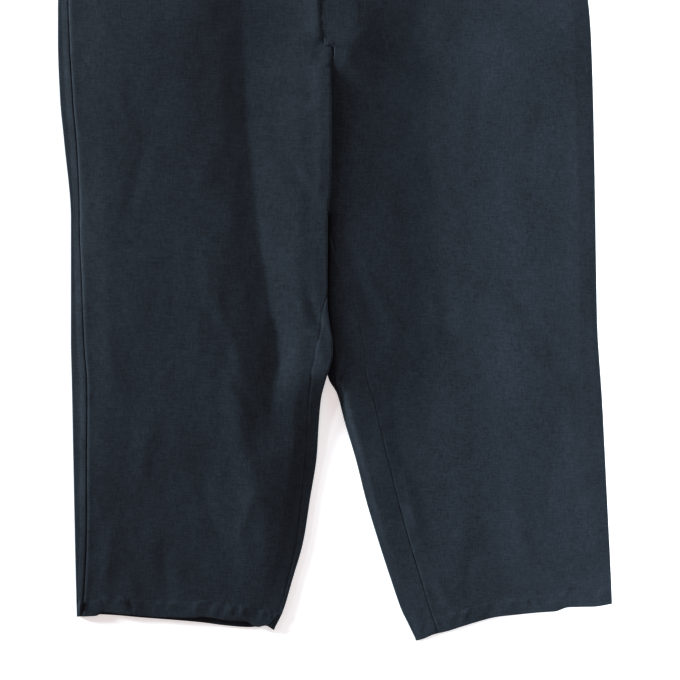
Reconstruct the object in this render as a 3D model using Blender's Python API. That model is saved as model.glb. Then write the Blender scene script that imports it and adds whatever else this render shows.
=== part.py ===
"""Wide-leg linen trousers, laid flat on their back with the front upwards.

X runs across the garment, Y up the garment towards the waist, and Z up from
the floor. The origin is on the floor under the middle of the outline. Left and
right are the wearer's, so the right leg lies at -X.

Each panel is a sheet that lies on the middle of the cloth, given its thickness
by a Solidify modifier. The sheets are worked out section by section: every
section is a flattened tube with two rolled edges, cut at its seams.
"""
import math

import bmesh
import bpy
import numpy as np

MM = 0.001

# Sizes in millimetres
LENGTH = 906.2              # waist edge to the lowest tip of the hem
WALL = 1.2                  # thickness of the cloth
ROLL = 1.0                  # radius of the cloth's middle where it rolls over an edge
SEAM_GAP = 0.3              # between two pieces at a seam
LOOSE_GAP = 1.0             # at an inseam, where it runs under or round the leg's edge
LOOSE_END_RIGHT = 524.0     # how far down that is
LOOSE_END_LEFT = 435.0
LIFT_START_UNDER = 24.0     # the under layer starts to climb this far in from the centre fold
LIFT_REST = 11.0            # the under layer rests on the other leg from here
LIFT_FULL = 2.0             # and both have climbed fully this far in from the fold
REST_SHARE = 0.85           # share of the lift at which the under layer rests
SWELL = 3.4                 # the upper layer swells this high beside the fold's upper end
SWELL_DOWN = (190.0, 285.0)
SWELL_END = 300.0           # the swelling has passed into the plain lift here
SWELL_ACROSS = (11.0, 26.0)     # the swelling stays this far in from the centre line
CROWN_EDGE = (1.0, 11.0)    # the left front climbs to its crown this far in from its inner edge
CENTRE_LINE = -4.0
SIDE_SEAM_UNDER = 7.0       # left side seam, in from the edge on the underside
CENTRE_BACK = -14.6         # centre back seam, across the garment
PAST_CENTRE = 10.0          # above the crotch the left section's unused roll lies past that seam
CROTCH_DOWN = 417.5         # crotch point below the waist edge
HEM_DOWN = 880.0            # where the hems would be if they were straight
HEM_REACH = 110.0           # the hem's own line fades out this far above it
HEM_ROUNDS = 4              # rounds in which a point settles on the hem's line
FLY_RAISE = 1.5             # the fly's upper layer stands above its underlap
FLY_RAISE_END = (22.0, 46.0)    # across the garment
FLY_RAISE_FADE = (243.0, 227.0)     # and down it
FOLD_GROWN = 0.22           # share of a fold's length at which it has its full height
FOLD_FADING = 0.62          # and share from which it fades
FOLD_FADE_OUTER = 22.0      # folds flatten out towards the rolled side edges
FOLD_FADE_INNER = (4.0, 30.0)
FOLD_FADE_CENTRE = -13.0    # the right front's folds flatten out before this line
CLIMB_CROWDING = 4.0        # how much closer the points lie where a layer climbs to the fold

# Waistband and its button
BAND_DEPTH = 40.0
BAND_WALL = 1.6
BAND_ROLL = 1.1
BAND_LEFT = (-247.0, -249.0)        # outline at the top and at the bottom of the band
BAND_RIGHT = (219.0, 221.0)
BAND_OVER_END = -15.4               # the upper end, in line with the edge of the fly
BAND_UNDER_END = 20.0               # the end that passes under it
BAND_SHARES = (0.0, 0.5, 1.0)       # its rows of points, as shares of its depth
BUTTON_WIDTH = 17.0
BUTTON_THICKNESS = 2.6
BUTTON_RECESS = 0.8
BUTTON_RIM = 2.2
BUTTON_DISH = 0.5           # width of the step from the rim to the recess
BUTTON_EDGE = 0.6           # rounding of its outer edges
BUTTON_SIDES = 24
BUTTON_SHARP = 40.0         # edges sharper than this many degrees stay crisp
BUTTON_PLACE = (-2.0, 20.0)         # across, and down from the waist edge

# Finishes
LINEN_COLOUR = (0.022, 0.028, 0.040)
LINEN_ROUGHNESS = 0.9
BUTTON_COLOUR = (0.012, 0.012, 0.014)
BUTTON_ROUGHNESS = 0.4

# How finely the sheets are divided
STATIONS = (41.0, 90, 140, 185, 210, 223, 225.5, 235, 243, 250, 257, 268, 300, 345, 385, 412,
            424, 440, 462, 480, 490, 497, 504, 511, 518, 530, 555, 580, 602, 630, 675, 720, 765,
            805, 842, 862, 880)
ACROSS_FLAT = 15            # steps of the right front up to the fold
ACROSS_FOLD = 8             # and round the fold
FOLD_PART = 30.0            # width of the part that counts as the fold
ACROSS_FRONT = 21
ACROSS_BACK = 23
ACROSS_BAND = 56
CROWDING = 26.0             # how much closer the points lie where the cloth rolls over


def slopes_of(key, values):
    """Slope at each row: none where the values turn, the steps' harmonic mean elsewhere."""
    steps = np.diff(values) / np.diff(key)
    slopes = np.empty(len(values))
    slopes[0] = steps[0]
    slopes[-1] = steps[-1]
    for i, (before, after) in enumerate(zip(steps, steps[1:]), start=1):
        same_way = before * after > 0
        slopes[i] = 2 * before * after / (before + after) if same_way else 0.0
    return slopes


class Table:
    """Rows with named columns, read between its rows along a curve that never overshoots."""

    def __init__(self, names, rows):
        columns = np.array(rows, dtype=float).T
        self.key = columns[0]
        self.values = dict(zip(names.split()[1:], columns[1:]))
        self.slopes = {name: slopes_of(self.key, column) for name, column in self.values.items()}

    def at(self, name, where):
        key = self.key
        values = self.values[name]
        slopes = self.slopes[name]
        where = min(max(where, key[0]), key[-1])
        i = min(max(int(np.searchsorted(key, where)) - 1, 0), len(key) - 2)
        span = key[i + 1] - key[i]
        t = (where - key[i]) / span
        start = values[i] * (1 + 2 * t) * (1 - t) ** 2 + slopes[i] * span * t * (1 - t) ** 2
        end = values[i + 1] * t * t * (3 - 2 * t) - slopes[i + 1] * span * t * t * (1 - t)
        return start + end


# Right outline and side seam. edge: outline; seam: side seam in from the outline, on the front
RIGHT_SIDE = Table("down edge seam", [
    (40, -249.0, 12.0),
    (80, -278.0, 12.5),
    (120, -301.0, 12.5),
    (150, -313.5, 12.5),
    (175, -318.5, 12.6),
    (216, -318.5, 14.0),
    (285, -316.0, 15.5),
    (331, -311.6, 15.0),
    (423, -303.6, 10.6),
    (500, -303.6, 13.5),
    (561, -303.6, 15.6),
    (611, -302.5, 18.0),
    (700, -300.8, 16.0),
    (780, -299.2, 14.0),
    (837, -297.9, 10.5),
    (880, -296.7, 5.5),
])

# Left outline
LEFT_SIDE = Table("down edge", [
    (40, 221.0),
    (80, 249.5),
    (120, 272.0),
    (150, 286.0),
    (172, 291.0),
    (216, 294.4),
    (285, 296.7),
    (400, 299.0),
    (538, 301.3),
    (630, 307.0),
    (676, 309.4),
    (745, 312.8),
    (814, 316.3),
    (864, 318.5),
])

# The right front's centre line and, below the crotch, the right leg's inner edge.
# edge: outermost line of the fold; past: how far the front goes on past the top of the fold,
# less than 0 where it stops short; lift: height at which the fold lies on what is under it
RIGHT_FOLD = Table("down edge past lift", [
    (40, 20.0, -1.0, 0.0),
    (185, 20.0, -1.0, 0.0),
    (210, 10.6, -1.0, 0.0),
    (223, 0.8, -1.0, 0.0),
    (235, 1.2, -1.0, 0.0),
    (243, -2.0, -0.5, 0.9),
    (250, -4.4, 1.5, 2.7),
    (257, -4.4, 5.0, 3.7),
    (268, -4.0, 12.0, 4.4),
    (332, -3.5, 12.0, 4.4),
    (382, -4.6, 12.0, 4.4),
    (420, -8.0, 11.0, 4.4),
    (469, -8.4, 9.0, 4.4),
    (480, -8.5, 7.0, 4.4),
    (490, -8.6, 5.0, 4.4),
    (497, -8.6, 3.2, 4.4),
    (504, -8.6, 1.6, 4.4),
    (511, -8.6, 0.0, 4.4),
    (518, -8.6, -2.2, 4.4),
    (530, -7.8, -6.5, 4.4),
    (544, -5.8, -10.0, 4.4),
    (567, -2.3, -18.0, 4.4),
    (576, -2.3, -20.0, 4.4),
    (596, -6.9, -20.0, 4.4),
    (607, -10.4, -17.0, 3.5),
    (630, -16.1, -13.7, 1.8),
    (660, -18.7, -13.4, 0.4),
    (693, -20.7, -13.4, 0.0),
    (745, -28.8, -10.0, 0.0),
    (791, -36.0, -8.0, 0.0),
    (837, -49.0, -5.0, 0.0),
    (873, -59.8, -3.6, 0.0),
    (894, -70.2, -8.0, 0.0),
])

# The left front's centre edge above the crotch
LEFT_CENTRE = Table("down edge", [
    (40, -15.4),
    (172, -15.4),
    (193, -15.0),
    (223, -11.5),
    (225.5, -1.2),
    (235, -0.7),
    (243, -1.0),
    (250, -3.9),
    (257, -6.0),
    (268, -14.3),
    (385, -14.3),
    (417.5, -8.5),
])

# The left leg's inner edge, and its inseam in from that edge on the front
LEFT_INNER = Table("down edge seam", [
    (417.5, -13.4, 4.5),
    (429, -14.4, 7.5),
    (452, -16.1, 14.0),
    (475, -16.8, 22.0),
    (504, -17.3, 33.0),
    (538, -15.5, 42.0),
    (567, -12.5, 45.0),
    (596, -9.8, 45.0),
    (607, -6.9, 44.0),
    (622, 2.0, 40.0),
    (653, 10.4, 39.5),
    (699, 24.1, 37.0),
    (745, 35.6, 37.0),
    (791, 49.4, 36.0),
    (837, 64.4, 35.0),
    (873, 77.0, 33.0),
    (883, 82.0, 32.0),
    (906.2, 93.2, 28.0),
])

# The front's crown along the centre. height: how high the layers there lie above the rest, and
# left: how high the left front does; kink: where the right front starts to climb to it, in from
# the centre line; fall: where the left front starts to fall from it, and end: where it has fallen
CROWN = Table("down height left kink fall end", [
    (40, 0.0, 0.0, 118.0, 24.0, 104.0),
    (60, 0.1, 0.1, 116.0, 24.0, 104.0),
    (160, 5.6, 5.6, 103.0, 24.0, 104.0),
    (215, 6.6, 6.6, 101.0, 24.0, 106.0),
    (245, 6.6, 6.6, 99.0, 8.0, 106.0),
    (268, 6.6, 6.6, 98.0, 2.0, 106.0),
    (323, 6.6, 6.6, 96.0, 2.0, 108.0),
    (435, 6.6, 6.6, 80.0, 2.0, 114.0),
    (539, 6.2, 6.2, 64.0, 2.0, 132.0),
    (590, 5.4, 5.4, 59.0, 4.0, 146.0),
    (631, 2.8, 4.0, 57.0, 12.0, 156.0),
    (680, 0.9, 2.4, 56.0, 26.0, 164.0),
    (730, 0.0, 1.6, 56.0, 40.0, 170.0),
    (800, 0.0, 0.9, 56.0, 60.0, 176.0),
    (850, 0.0, 0.3, 56.0, 76.0, 180.0),
    (885, 0.0, 0.0, 56.0, 86.0, 184.0),
])

# Lines of the hems: how far down each lies, across the garment
RIGHT_FRONT_HEM = Table("across down", [
    (-296.7, 878.6),
    (-274, 877.5),
    (-267, 873.5),
    (-237, 876.3),
    (-205, 878.9),
    (-162, 879.8),
    (-153, 878.3),
    (-120, 883.2),
    (-103, 883.6),
    (-88, 890.4),
    (-80, 888.6),
    (-70.2, 893.8),
])
RIGHT_BACK_HEM = Table("across down", [
    (-296.7, 878.6),
    (-274, 876.0),
    (-217, 880.0),
    (-155, 885.0),
    (-123, 889.0),
    (-98, 890.7),
    (-86, 889.4),
    (-80, 888.6),
    (-70.2, 893.8),
])
LEFT_HEM = Table("across down", [
    (93.2, 906.2),
    (102, 903.6),
    (112, 899.3),
    (130, 894.7),
    (149, 888.6),
    (167, 883.2),
    (185, 878.8),
    (204, 876.6),
    (240, 873.1),
    (252, 872.4),
    (269, 867.4),
    (296, 867.0),
    (318.5, 863.7),
])

# Soft folds of the front, one row each. The crest runs from (across, down) to (across_end,
# down_end), bowed sideways by bow; before and after are its widths towards -X and +X
FOLDS = [
    dict(across=-187, down=30, across_end=-98, down_end=880, bow=0, before=110, after=82, height=7.8),
    dict(across=-262, down=60, across_end=-260, down_end=900, bow=3, before=30, after=60, height=2.0),
    dict(across=-60, down=640, across_end=-108, down_end=905, bow=0, before=50, after=30, height=1.6),
    dict(across=228, down=60, across_end=236, down_end=880, bow=0, before=72, after=80, height=4.2),
    dict(across=208, down=500, across_end=226, down_end=690, bow=6, before=26, after=34, height=1.4),
]


def ease(value, start, end):
    """0 at start, 1 at end, and smooth between them."""
    t = min(max((value - start) / (end - start), 0.0), 1.0)
    return t * t * (3 - 2 * t)


def slope(value, start, end):
    """0 at start, 1 at end, and nearly straight between them."""
    t = min(max((value - start) / (end - start), 0.0), 1.0)
    return (2 * t + t * t * (3 - 2 * t)) / 3


def arch(value, start, end):
    """0 at start, 1 at end: a straight rise that gets gentler towards the end."""
    t = min(max((value - start) / (end - start), 0.0), 1.0)
    return t * (3 - t) / 2


def fold_height(across, down):
    """Height that the soft folds add to the front at a place."""
    total = 0.0
    for fold in FOLDS:
        length = fold["down_end"] - fold["down"]
        t = (down - fold["down"]) / length
        if not 0 < t < 1:
            continue
        crest = fold["across"] + (fold["across_end"] - fold["across"]) * t
        crest += fold["bow"] * math.sin(math.pi * t)
        width = fold["before"] if across < crest else fold["after"]
        fade = ease(t, 0, FOLD_GROWN) * ease(t, 1, FOLD_FADING)
        total += fold["height"] * fade * math.exp(-((across - crest) / width) ** 2)
    return total


def front_height(across, down, right_side):
    """Height of the middle of the front's cloth above the floor."""
    outer = RIGHT_SIDE.at("edge", down) if right_side else LEFT_SIDE.at("edge", down)
    fold_edge = RIGHT_FOLD.at("edge", down)
    if right_side:
        from_inner = min(fold_edge, FOLD_FADE_CENTRE) - across
    else:
        from_inner = across - max(fold_edge, LEFT_INNER.at("edge", down))
    fade = ease(abs(across - outer), 0, FOLD_FADE_OUTER) * ease(from_inner, *FOLD_FADE_INNER)
    height = WALL / 2 + 2 * ROLL + fold_height(across, down) * fade
    if right_side:
        from_centre = min(fold_edge, CENTRE_LINE) - across
        swell = ease(down, *SWELL_DOWN) * SWELL
        share = ease(down, SWELL_END, SWELL_DOWN[1]) * ease(from_centre, *SWELL_ACROSS)
        lift = RIGHT_FOLD.at("lift", down) * (1 - share) + swell * share
        climb = arch(from_centre, CROWN.at("kink", down), LIFT_FULL)
        return height + (lift + CROWN.at("height", down)) * climb
    fly = ease(down, *FLY_RAISE_FADE) * ease(across, FLY_RAISE_END[1], FLY_RAISE_END[0])
    crown = CROWN.at("left", down) * slope(across, CROWN.at("end", down), CROWN.at("fall", down))
    if down > CROTCH_DOWN:
        crown *= ease(across - LEFT_INNER.at("edge", down), *CROWN_EDGE)
    return height + FLY_RAISE * fly + crown


def under_height(across, down, from_floor):
    """Height of the cloth under the fold: from the floor, over the other leg, up to the fold."""
    from_fold = RIGHT_FOLD.at("edge", down) - across
    rest = REST_SHARE * (ease(from_fold, LIFT_START_UNDER, LIFT_REST) if from_floor else 1.0)
    climb = (1 - REST_SHARE) * ease(from_fold, LIFT_REST, LIFT_FULL)
    crown = CROWN.at("height", down) * rest / REST_SHARE
    return WALL / 2 + RIGHT_FOLD.at("lift", down) * (rest + climb) + crown


def back_height(across, down):
    """Height of the middle of the right back's cloth."""
    return WALL / 2 if down < CROTCH_DOWN else under_height(across, down, True)


class Tube:
    """A section of a flattened tube between two rolled edges.

    A length t along its middle starts where the left roll meets the top, and runs
    across the top, round the right roll, back along the bottom and up the left roll.
    """

    def __init__(self, left, right, low, high, wall=WALL, roll=ROLL, climbs=False):
        self.climbs = climbs
        self.roll = roll
        self.low = low
        self.high = high
        self.start = left + roll + wall / 2
        self.end = right - roll - wall / 2
        self.run = self.end - self.start
        self.turn = math.pi * roll
        self.whole = 2 * (self.run + self.turn)

    def point(self, t):
        t = t % self.whole
        if t <= self.run:
            x = self.start + t
            return x, self.high(x)
        if t < self.run + self.turn:
            angle = (t - self.run) / self.roll
            x = self.end + self.roll * math.sin(angle)
            return x, self.low(self.end) + self.roll * (1 + math.cos(angle))
        if t <= 2 * self.run + self.turn:
            x = self.end - (t - self.run - self.turn)
            return x, self.low(x)
        angle = (t - 2 * self.run - self.turn) / self.roll
        x = self.start - self.roll * math.sin(angle)
        return x, self.low(self.start) + self.roll * (1 - math.cos(angle))

    def crowded(self):
        """Stretches of t, for three rounds, that need more points, and how many times more."""
        right = (self.run, self.run + self.turn, CROWDING)
        left = (2 * self.run + self.turn, self.whole, CROWDING)
        above = (self.run - LIFT_START_UNDER, self.run, CLIMB_CROWDING)
        below = (self.run + self.turn, self.run + self.turn + LIFT_START_UNDER, CLIMB_CROWDING)
        rounds = (-self.whole, 0, self.whole)
        stretches = (right, left, above, below) if self.climbs else (right, left)
        return [(a + shift, b + shift, times) for a, b, times in stretches for shift in rounds]


def spread(first, last, crowded, count):
    """Places from first to last, count steps of them, closer together in the crowded stretches."""
    low = min(first, last)
    high = max(first, last)
    marks = {low, high}
    for start, end, _ in crowded:
        marks.update((min(max(start, low), high), min(max(end, low), high)))
    marks = sorted(marks)
    weights = []
    for a, b in zip(marks, marks[1:]):
        times = [extra for start, end, extra in crowded if start <= (a + b) / 2 <= end]
        weights.append((b - a) * max(times, default=1.0))
    totals = np.concatenate([[0.0], np.cumsum(weights)])
    places = np.interp(np.linspace(0, totals[-1], count + 1), totals, marks)
    return places if first < last else places[::-1]


def front_right(down):
    """Tube and the stretches of it that the right front covers: start, end and steps of each."""
    left = RIGHT_SIDE.at("edge", down)
    tube = Tube(left, RIGHT_FOLD.at("edge", down), lambda x: under_height(x, down, False),
                lambda x: front_height(x, down, True), climbs=True)
    seam = left + RIGHT_SIDE.at("seam", down)
    part = tube.run - FOLD_PART
    last = tube.run + RIGHT_FOLD.at("past", down)
    return tube, [(seam - tube.start, part, ACROSS_FLAT), (part, last, ACROSS_FOLD)]


def back_right(down):
    """The right back: from the side seam round the outline, underneath, and up to the inseam."""
    left = RIGHT_SIDE.at("edge", down)
    tube = Tube(left, RIGHT_FOLD.at("edge", down), lambda x: back_height(x, down),
                lambda x: front_height(x, down, True), climbs=True)
    first = left + RIGHT_SIDE.at("seam", down) - SEAM_GAP - tube.start
    gap = SEAM_GAP if down > LOOSE_END_RIGHT else LOOSE_GAP
    last = tube.run + RIGHT_FOLD.at("past", down) + gap - tube.whole
    if down < CROTCH_DOWN:
        last = -tube.turn - (CENTRE_BACK - SEAM_GAP - tube.start)
    return tube, [(first, last, ACROSS_BACK)]


def left_tube(down):
    """The left leg's section; above the crotch its inner roll is out of use, past the centre."""
    inner = CENTRE_BACK - PAST_CENTRE if down < CROTCH_DOWN else LEFT_INNER.at("edge", down)
    return Tube(inner, LEFT_SIDE.at("edge", down), lambda x: WALL / 2,
                lambda x: front_height(x, down, False))


def left_front_edge(down):
    """Where the left front starts: the centre line, and below the crotch the inseam."""
    if down < CROTCH_DOWN:
        return LEFT_CENTRE.at("edge", down)
    return LEFT_INNER.at("edge", down) + LEFT_INNER.at("seam", down)


def front_left(down):
    """The left front: across the top, round the outline, to the side seam underneath."""
    tube = left_tube(down)
    first = left_front_edge(down) - tube.start
    return tube, [(first, tube.run + tube.turn + SIDE_SEAM_UNDER, ACROSS_FRONT)]


def back_left(down):
    """The left back: from the side seam along the floor, and round the inner edge to the inseam."""
    tube = left_tube(down)
    first = tube.run + tube.turn + SIDE_SEAM_UNDER + SEAM_GAP
    gap = SEAM_GAP if down > LOOSE_END_LEFT else LOOSE_GAP
    last = tube.whole + left_front_edge(down) - gap - tube.start
    if down < CROTCH_DOWN:
        last = tube.run + tube.turn + tube.end - CENTRE_BACK
    return tube, [(first, last, ACROSS_BACK)]


def section_places(section, down):
    """The tube of a section, and all the places on it that a panel's points take."""
    tube, stretches = section(down)
    places = []
    for first, last, steps in stretches:
        places = places[:-1] + list(spread(first, last, tube.crowded(), steps))
    return tube, places


def panel_point(section, hem, station, index):
    """A place on a panel, moved down so that the panel ends on its hem's own line."""
    pull = ease(station, HEM_DOWN - HEM_REACH, HEM_DOWN)
    down = station
    for _ in range(HEM_ROUNDS if pull else 1):
        tube, places = section_places(section, down)
        x, z = tube.point(places[index])
        down = station + pull * (hem.at("down", x) - HEM_DOWN)
    return x, LENGTH / 2 - down, z


def solid_sheet(name, rows, wall, material):
    """A sheet through rows of points, thickened to both sides of the cloth's middle."""
    across = len(rows[0])
    points = [(x * MM, y * MM, z * MM) for row in rows for x, y, z in row]
    faces = []
    for i in range(len(rows) - 1):
        for j in range(across - 1):
            corner = i * across + j
            faces.append((corner, corner + across, corner + across + 1, corner + 1))
    mesh = bpy.data.meshes.new(name)
    mesh.from_pydata(points, [], faces)
    mesh.shade_smooth()
    mesh.materials.append(material)
    piece = bpy.data.objects.new(name, mesh)
    bpy.context.collection.objects.link(piece)
    thicken = piece.modifiers.new("Wall", "SOLIDIFY")
    thicken.thickness = wall * MM
    thicken.offset = 0.0
    thicken.use_rim = True
    return piece


def make_panel(name, section, hem, material):
    """One panel of cloth, from the waistband's seam to the hem."""
    rows = []
    for station in STATIONS:
        count = len(section_places(section, station)[1])
        rows.append([panel_point(section, hem, station, i) for i in range(count)])
    return solid_sheet(name, rows, WALL, material)


def make_waistband(material):
    """One strip round the waist, closed at the front with its left end over its right end."""
    rows = []
    for share in BAND_SHARES:
        left = BAND_LEFT[0] + (BAND_LEFT[1] - BAND_LEFT[0]) * share
        right = BAND_RIGHT[0] + (BAND_RIGHT[1] - BAND_RIGHT[0]) * share
        flat = BAND_WALL / 2 + 2 * BAND_ROLL
        tube = Tube(left, right, lambda x: BAND_WALL / 2, lambda x: flat, BAND_WALL, BAND_ROLL)
        first = BAND_OVER_END - tube.start
        last = tube.whole + BAND_UNDER_END - tube.start
        row = []
        for t in spread(first, last, tube.crowded(), ACROSS_BAND):
            x, z = tube.point(t)
            if t < tube.run:
                z += (BAND_WALL + SEAM_GAP) * ease(x, FLY_RAISE_END[1], FLY_RAISE_END[0])
            row.append((x, LENGTH / 2 - share * BAND_DEPTH, z))
        rows.append(row)
    return solid_sheet("waistband", rows, BAND_WALL, material)


def make_button(material):
    """A turned button with a raised rim, on the upper end of the waistband."""
    x, down = BUTTON_PLACE
    floor = BAND_WALL / 2 + 2 * BAND_ROLL + BAND_WALL + SEAM_GAP + BAND_WALL / 2 + SEAM_GAP
    shape = bmesh.new()
    made = bmesh.ops.create_cone(shape, cap_ends=True, segments=BUTTON_SIDES,
                                 depth=BUTTON_THICKNESS * MM, radius1=BUTTON_WIDTH / 2 * MM,
                                 radius2=BUTTON_WIDTH / 2 * MM)
    bmesh.ops.translate(shape, verts=made["verts"], vec=(0, 0, BUTTON_THICKNESS / 2 * MM))
    rims = [edge for edge in shape.edges if len({round(v.co.z, 6) for v in edge.verts}) == 1]
    bmesh.ops.bevel(shape, geom=rims, offset=BUTTON_EDGE * MM, segments=2, profile=0.5,
                    affect="EDGES")
    top = max(shape.faces, key=lambda face: face.calc_center_median().z)
    bmesh.ops.inset_region(shape, faces=[top], thickness=BUTTON_RIM * MM, depth=0.0)
    bmesh.ops.inset_region(shape, faces=[top], thickness=BUTTON_DISH * MM,
                            depth=-BUTTON_RECESS * MM)
    bmesh.ops.translate(shape, verts=shape.verts,
                        vec=(x * MM, (LENGTH / 2 - down) * MM, floor * MM))
    mesh = bpy.data.meshes.new("waist_button")
    shape.to_mesh(mesh)
    shape.free()
    mesh.shade_smooth()
    mesh.set_sharp_from_angle(angle=math.radians(BUTTON_SHARP))
    mesh.materials.append(material)
    piece = bpy.data.objects.new("waist_button", mesh)
    bpy.context.collection.objects.link(piece)
    return piece


def finish(name, colour, roughness):
    """A plain finish: colour, roughness and no metal."""
    material = bpy.data.materials.new(name)
    material.use_nodes = True
    shader = material.node_tree.nodes["Principled BSDF"]
    shader.inputs["Base Color"].default_value = (*colour, 1.0)
    shader.inputs["Roughness"].default_value = roughness
    shader.inputs["Metallic"].default_value = 0.0
    return material


def main():
    for old in list(bpy.data.objects):
        bpy.data.objects.remove(old, do_unlink=True)
    panels = {
        "back_right": (back_right, RIGHT_BACK_HEM),
        "back_left": (back_left, LEFT_HEM),
        "front_right": (front_right, RIGHT_FRONT_HEM),
        "front_left": (front_left, LEFT_HEM),
    }
    for name, (section, hem) in panels.items():
        make_panel(name, section, hem, finish(f"linen_{name}", LINEN_COLOUR, LINEN_ROUGHNESS))
    make_waistband(finish("linen_waistband", LINEN_COLOUR, LINEN_ROUGHNESS))
    make_button(finish("button", BUTTON_COLOUR, BUTTON_ROUGHNESS))


main()
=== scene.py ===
# %% [markdown]
# # Wide-leg linen trousers, laid flat
#
# The real garment is six sewn pieces of soft navy linen, dropped on a white table with its front
# upwards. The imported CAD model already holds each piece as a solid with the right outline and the
# largest folds. This script makes the cloth itself: thin sheets on the same forms, with creases,
# seams, hems, stitches and a woven finish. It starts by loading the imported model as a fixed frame.

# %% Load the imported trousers
import math

import bpy
import numpy as np
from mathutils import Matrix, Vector


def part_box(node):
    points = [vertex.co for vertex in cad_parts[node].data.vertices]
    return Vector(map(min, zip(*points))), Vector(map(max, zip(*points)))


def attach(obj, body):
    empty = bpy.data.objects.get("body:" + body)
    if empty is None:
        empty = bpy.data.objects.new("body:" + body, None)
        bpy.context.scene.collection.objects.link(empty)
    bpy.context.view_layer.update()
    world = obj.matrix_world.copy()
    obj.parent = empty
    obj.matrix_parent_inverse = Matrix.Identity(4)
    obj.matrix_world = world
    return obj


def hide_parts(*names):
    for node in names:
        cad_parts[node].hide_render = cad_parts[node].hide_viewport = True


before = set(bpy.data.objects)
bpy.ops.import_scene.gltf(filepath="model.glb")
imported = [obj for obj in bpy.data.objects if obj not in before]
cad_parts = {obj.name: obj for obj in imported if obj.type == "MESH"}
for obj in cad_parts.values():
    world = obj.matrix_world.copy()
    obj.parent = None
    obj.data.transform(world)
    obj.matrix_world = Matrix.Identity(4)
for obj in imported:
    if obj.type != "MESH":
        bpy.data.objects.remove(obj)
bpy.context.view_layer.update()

print("solids:", ", ".join(sorted(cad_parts)))

# %% [markdown]
# ## The camera
#
# The photo was taken from straight above, so the camera looks straight down. One pixel of the
# photo is 1.15 mm of cloth. The sheet's place in the picture fixes the point under the lens, and
# a long lens keeps the picture free of distortion. The waistband lies above the picture's edge.

# %% Sizes of the picture, and the camera
MM = 0.001
LENGTH = 906.2  # waist edge to the lowest tip of the hem
PIXEL = 1.15  # millimetres of cloth in one pixel
PICTURE = 680  # pixels along one side
VIEW_ACROSS = 5.75  # point under the lens: across the garment
VIEW_DOWN = 561.2  # and down from the waist edge
LENS = 85.0
SENSOR = 36.0

bpy.ops.object.select_all(action="DESELECT")
view_height = LENS / SENSOR * PIXEL * PICTURE * MM
bpy.ops.object.camera_add(location=(VIEW_ACROSS * MM, (LENGTH / 2 - VIEW_DOWN) * MM, view_height),
                          rotation=(0, 0, 0))
camera = bpy.context.object
camera.data.lens = LENS
camera.data.sensor_width = SENSOR
bpy.context.scene.camera = camera
print("camera height:", round(view_height, 3), "m")

# %% [markdown]
# ## Maths for paints
#
# A paint is a small net of nodes. Written node by node it is hard to read, so one class wraps a
# node's socket and lets Python's own signs add the Math nodes: `1 - mask` is a real expression.
# A second class holds one material and has one method that adds every other kind of node.


# %% A socket that can be added and multiplied
class Value:
    def __init__(self, paint, socket):
        self.paint = paint
        self.socket = socket

    def math(self, operation, first, second):
        return self.paint.add("ShaderNodeMath", {"operation": operation}, {0: first, 1: second})

    def __add__(self, other):
        return self.math("ADD", self, other)

    def __radd__(self, other):
        return self.math("ADD", other, self)

    def __sub__(self, other):
        return self.math("SUBTRACT", self, other)

    def __rsub__(self, other):
        return self.math("SUBTRACT", other, self)

    def __mul__(self, other):
        return self.math("MULTIPLY", self, other)

    def __rmul__(self, other):
        return self.math("MULTIPLY", other, self)

    def __gt__(self, other):
        return self.math("GREATER_THAN", self, other)

    def __abs__(self):
        return self.math("ABSOLUTE", self, 0.0)

    def sine(self):
        return self.math("SINE", self, 0.0)


# %% A material that is built by adding nodes
class Paint:
    def __init__(self, name):
        self.material = bpy.data.materials.new(name)
        self.material.use_nodes = True
        self.tree = self.material.node_tree
        self.shader = self.tree.nodes["Principled BSDF"]

    def add(self, kind, settings=None, sockets=None, output=0):
        node = self.tree.nodes.new(kind)
        for name, setting in (settings or {}).items():
            setattr(node, name, setting)
        for name, value in (sockets or {}).items():
            self.connect(node.inputs[name], value)
        return Value(self, node.outputs[output])

    def connect(self, socket, value):
        if isinstance(value, Value):
            self.tree.links.new(value.socket, socket)
        else:
            socket.default_value = value

    def mix(self, share, first, second):
        """A colour between two others."""
        return self.add("ShaderNodeMix", {"data_type": "RGBA"}, {0: share, 6: first, 7: second}, 2)

    def noise(self, place, detail=2.0, roughness=0.5):
        """Cloudy noise, about 0.5 on average, one cloud for each unit of place."""
        sockets = {"Vector": place, "Scale": 1.0, "Detail": detail, "Roughness": roughness}
        return self.add("ShaderNodeTexNoise", None, sockets)

    def scaled(self, place, size, shift=0.0):
        """A place measured in steps of size, given in millimetres for X, Y and Z."""
        scale = tuple(1 / (side * MM) for side in size)
        sockets = {"Vector": place, "Location": (shift, shift, 0.0), "Scale": scale}
        return self.add("ShaderNodeMapping", None, sockets)

    def finish(self, colour, rough, height=None, depth=0.0, **constants):
        self.connect(self.shader.inputs["Base Color"], colour)
        self.connect(self.shader.inputs["Roughness"], rough)
        if height is not None:
            bump = self.add("ShaderNodeBump", None, {"Strength": 1.0, "Distance": depth * MM,
                                                     "Height": height})
            self.connect(self.shader.inputs["Normal"], bump)
        for name, value in constants.items():
            self.shader.inputs[name.replace("_", " ")].default_value = value
        print("paint:", self.material.name, "with", len(self.tree.nodes), "nodes")
        return self.material


# %% [markdown]
# ## Navy linen
#
# Linen yarn is uneven. Thick places, called slubs, show as short streaks along the warp (down the
# leg) and the weft (across it), some paler and some nearly black. The cloth was dyed and washed,
# so broad patches differ a little, and the dye has rubbed off on edges. Noise stretched along each
# yarn direction makes the streaks, two sine waves make the plain weave, and a value stored in the
# mesh, `rub`, says where the cloth is worn. The pattern reads Object coordinates, so the grain
# runs straight down the garment and from one panel to the next.


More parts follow.
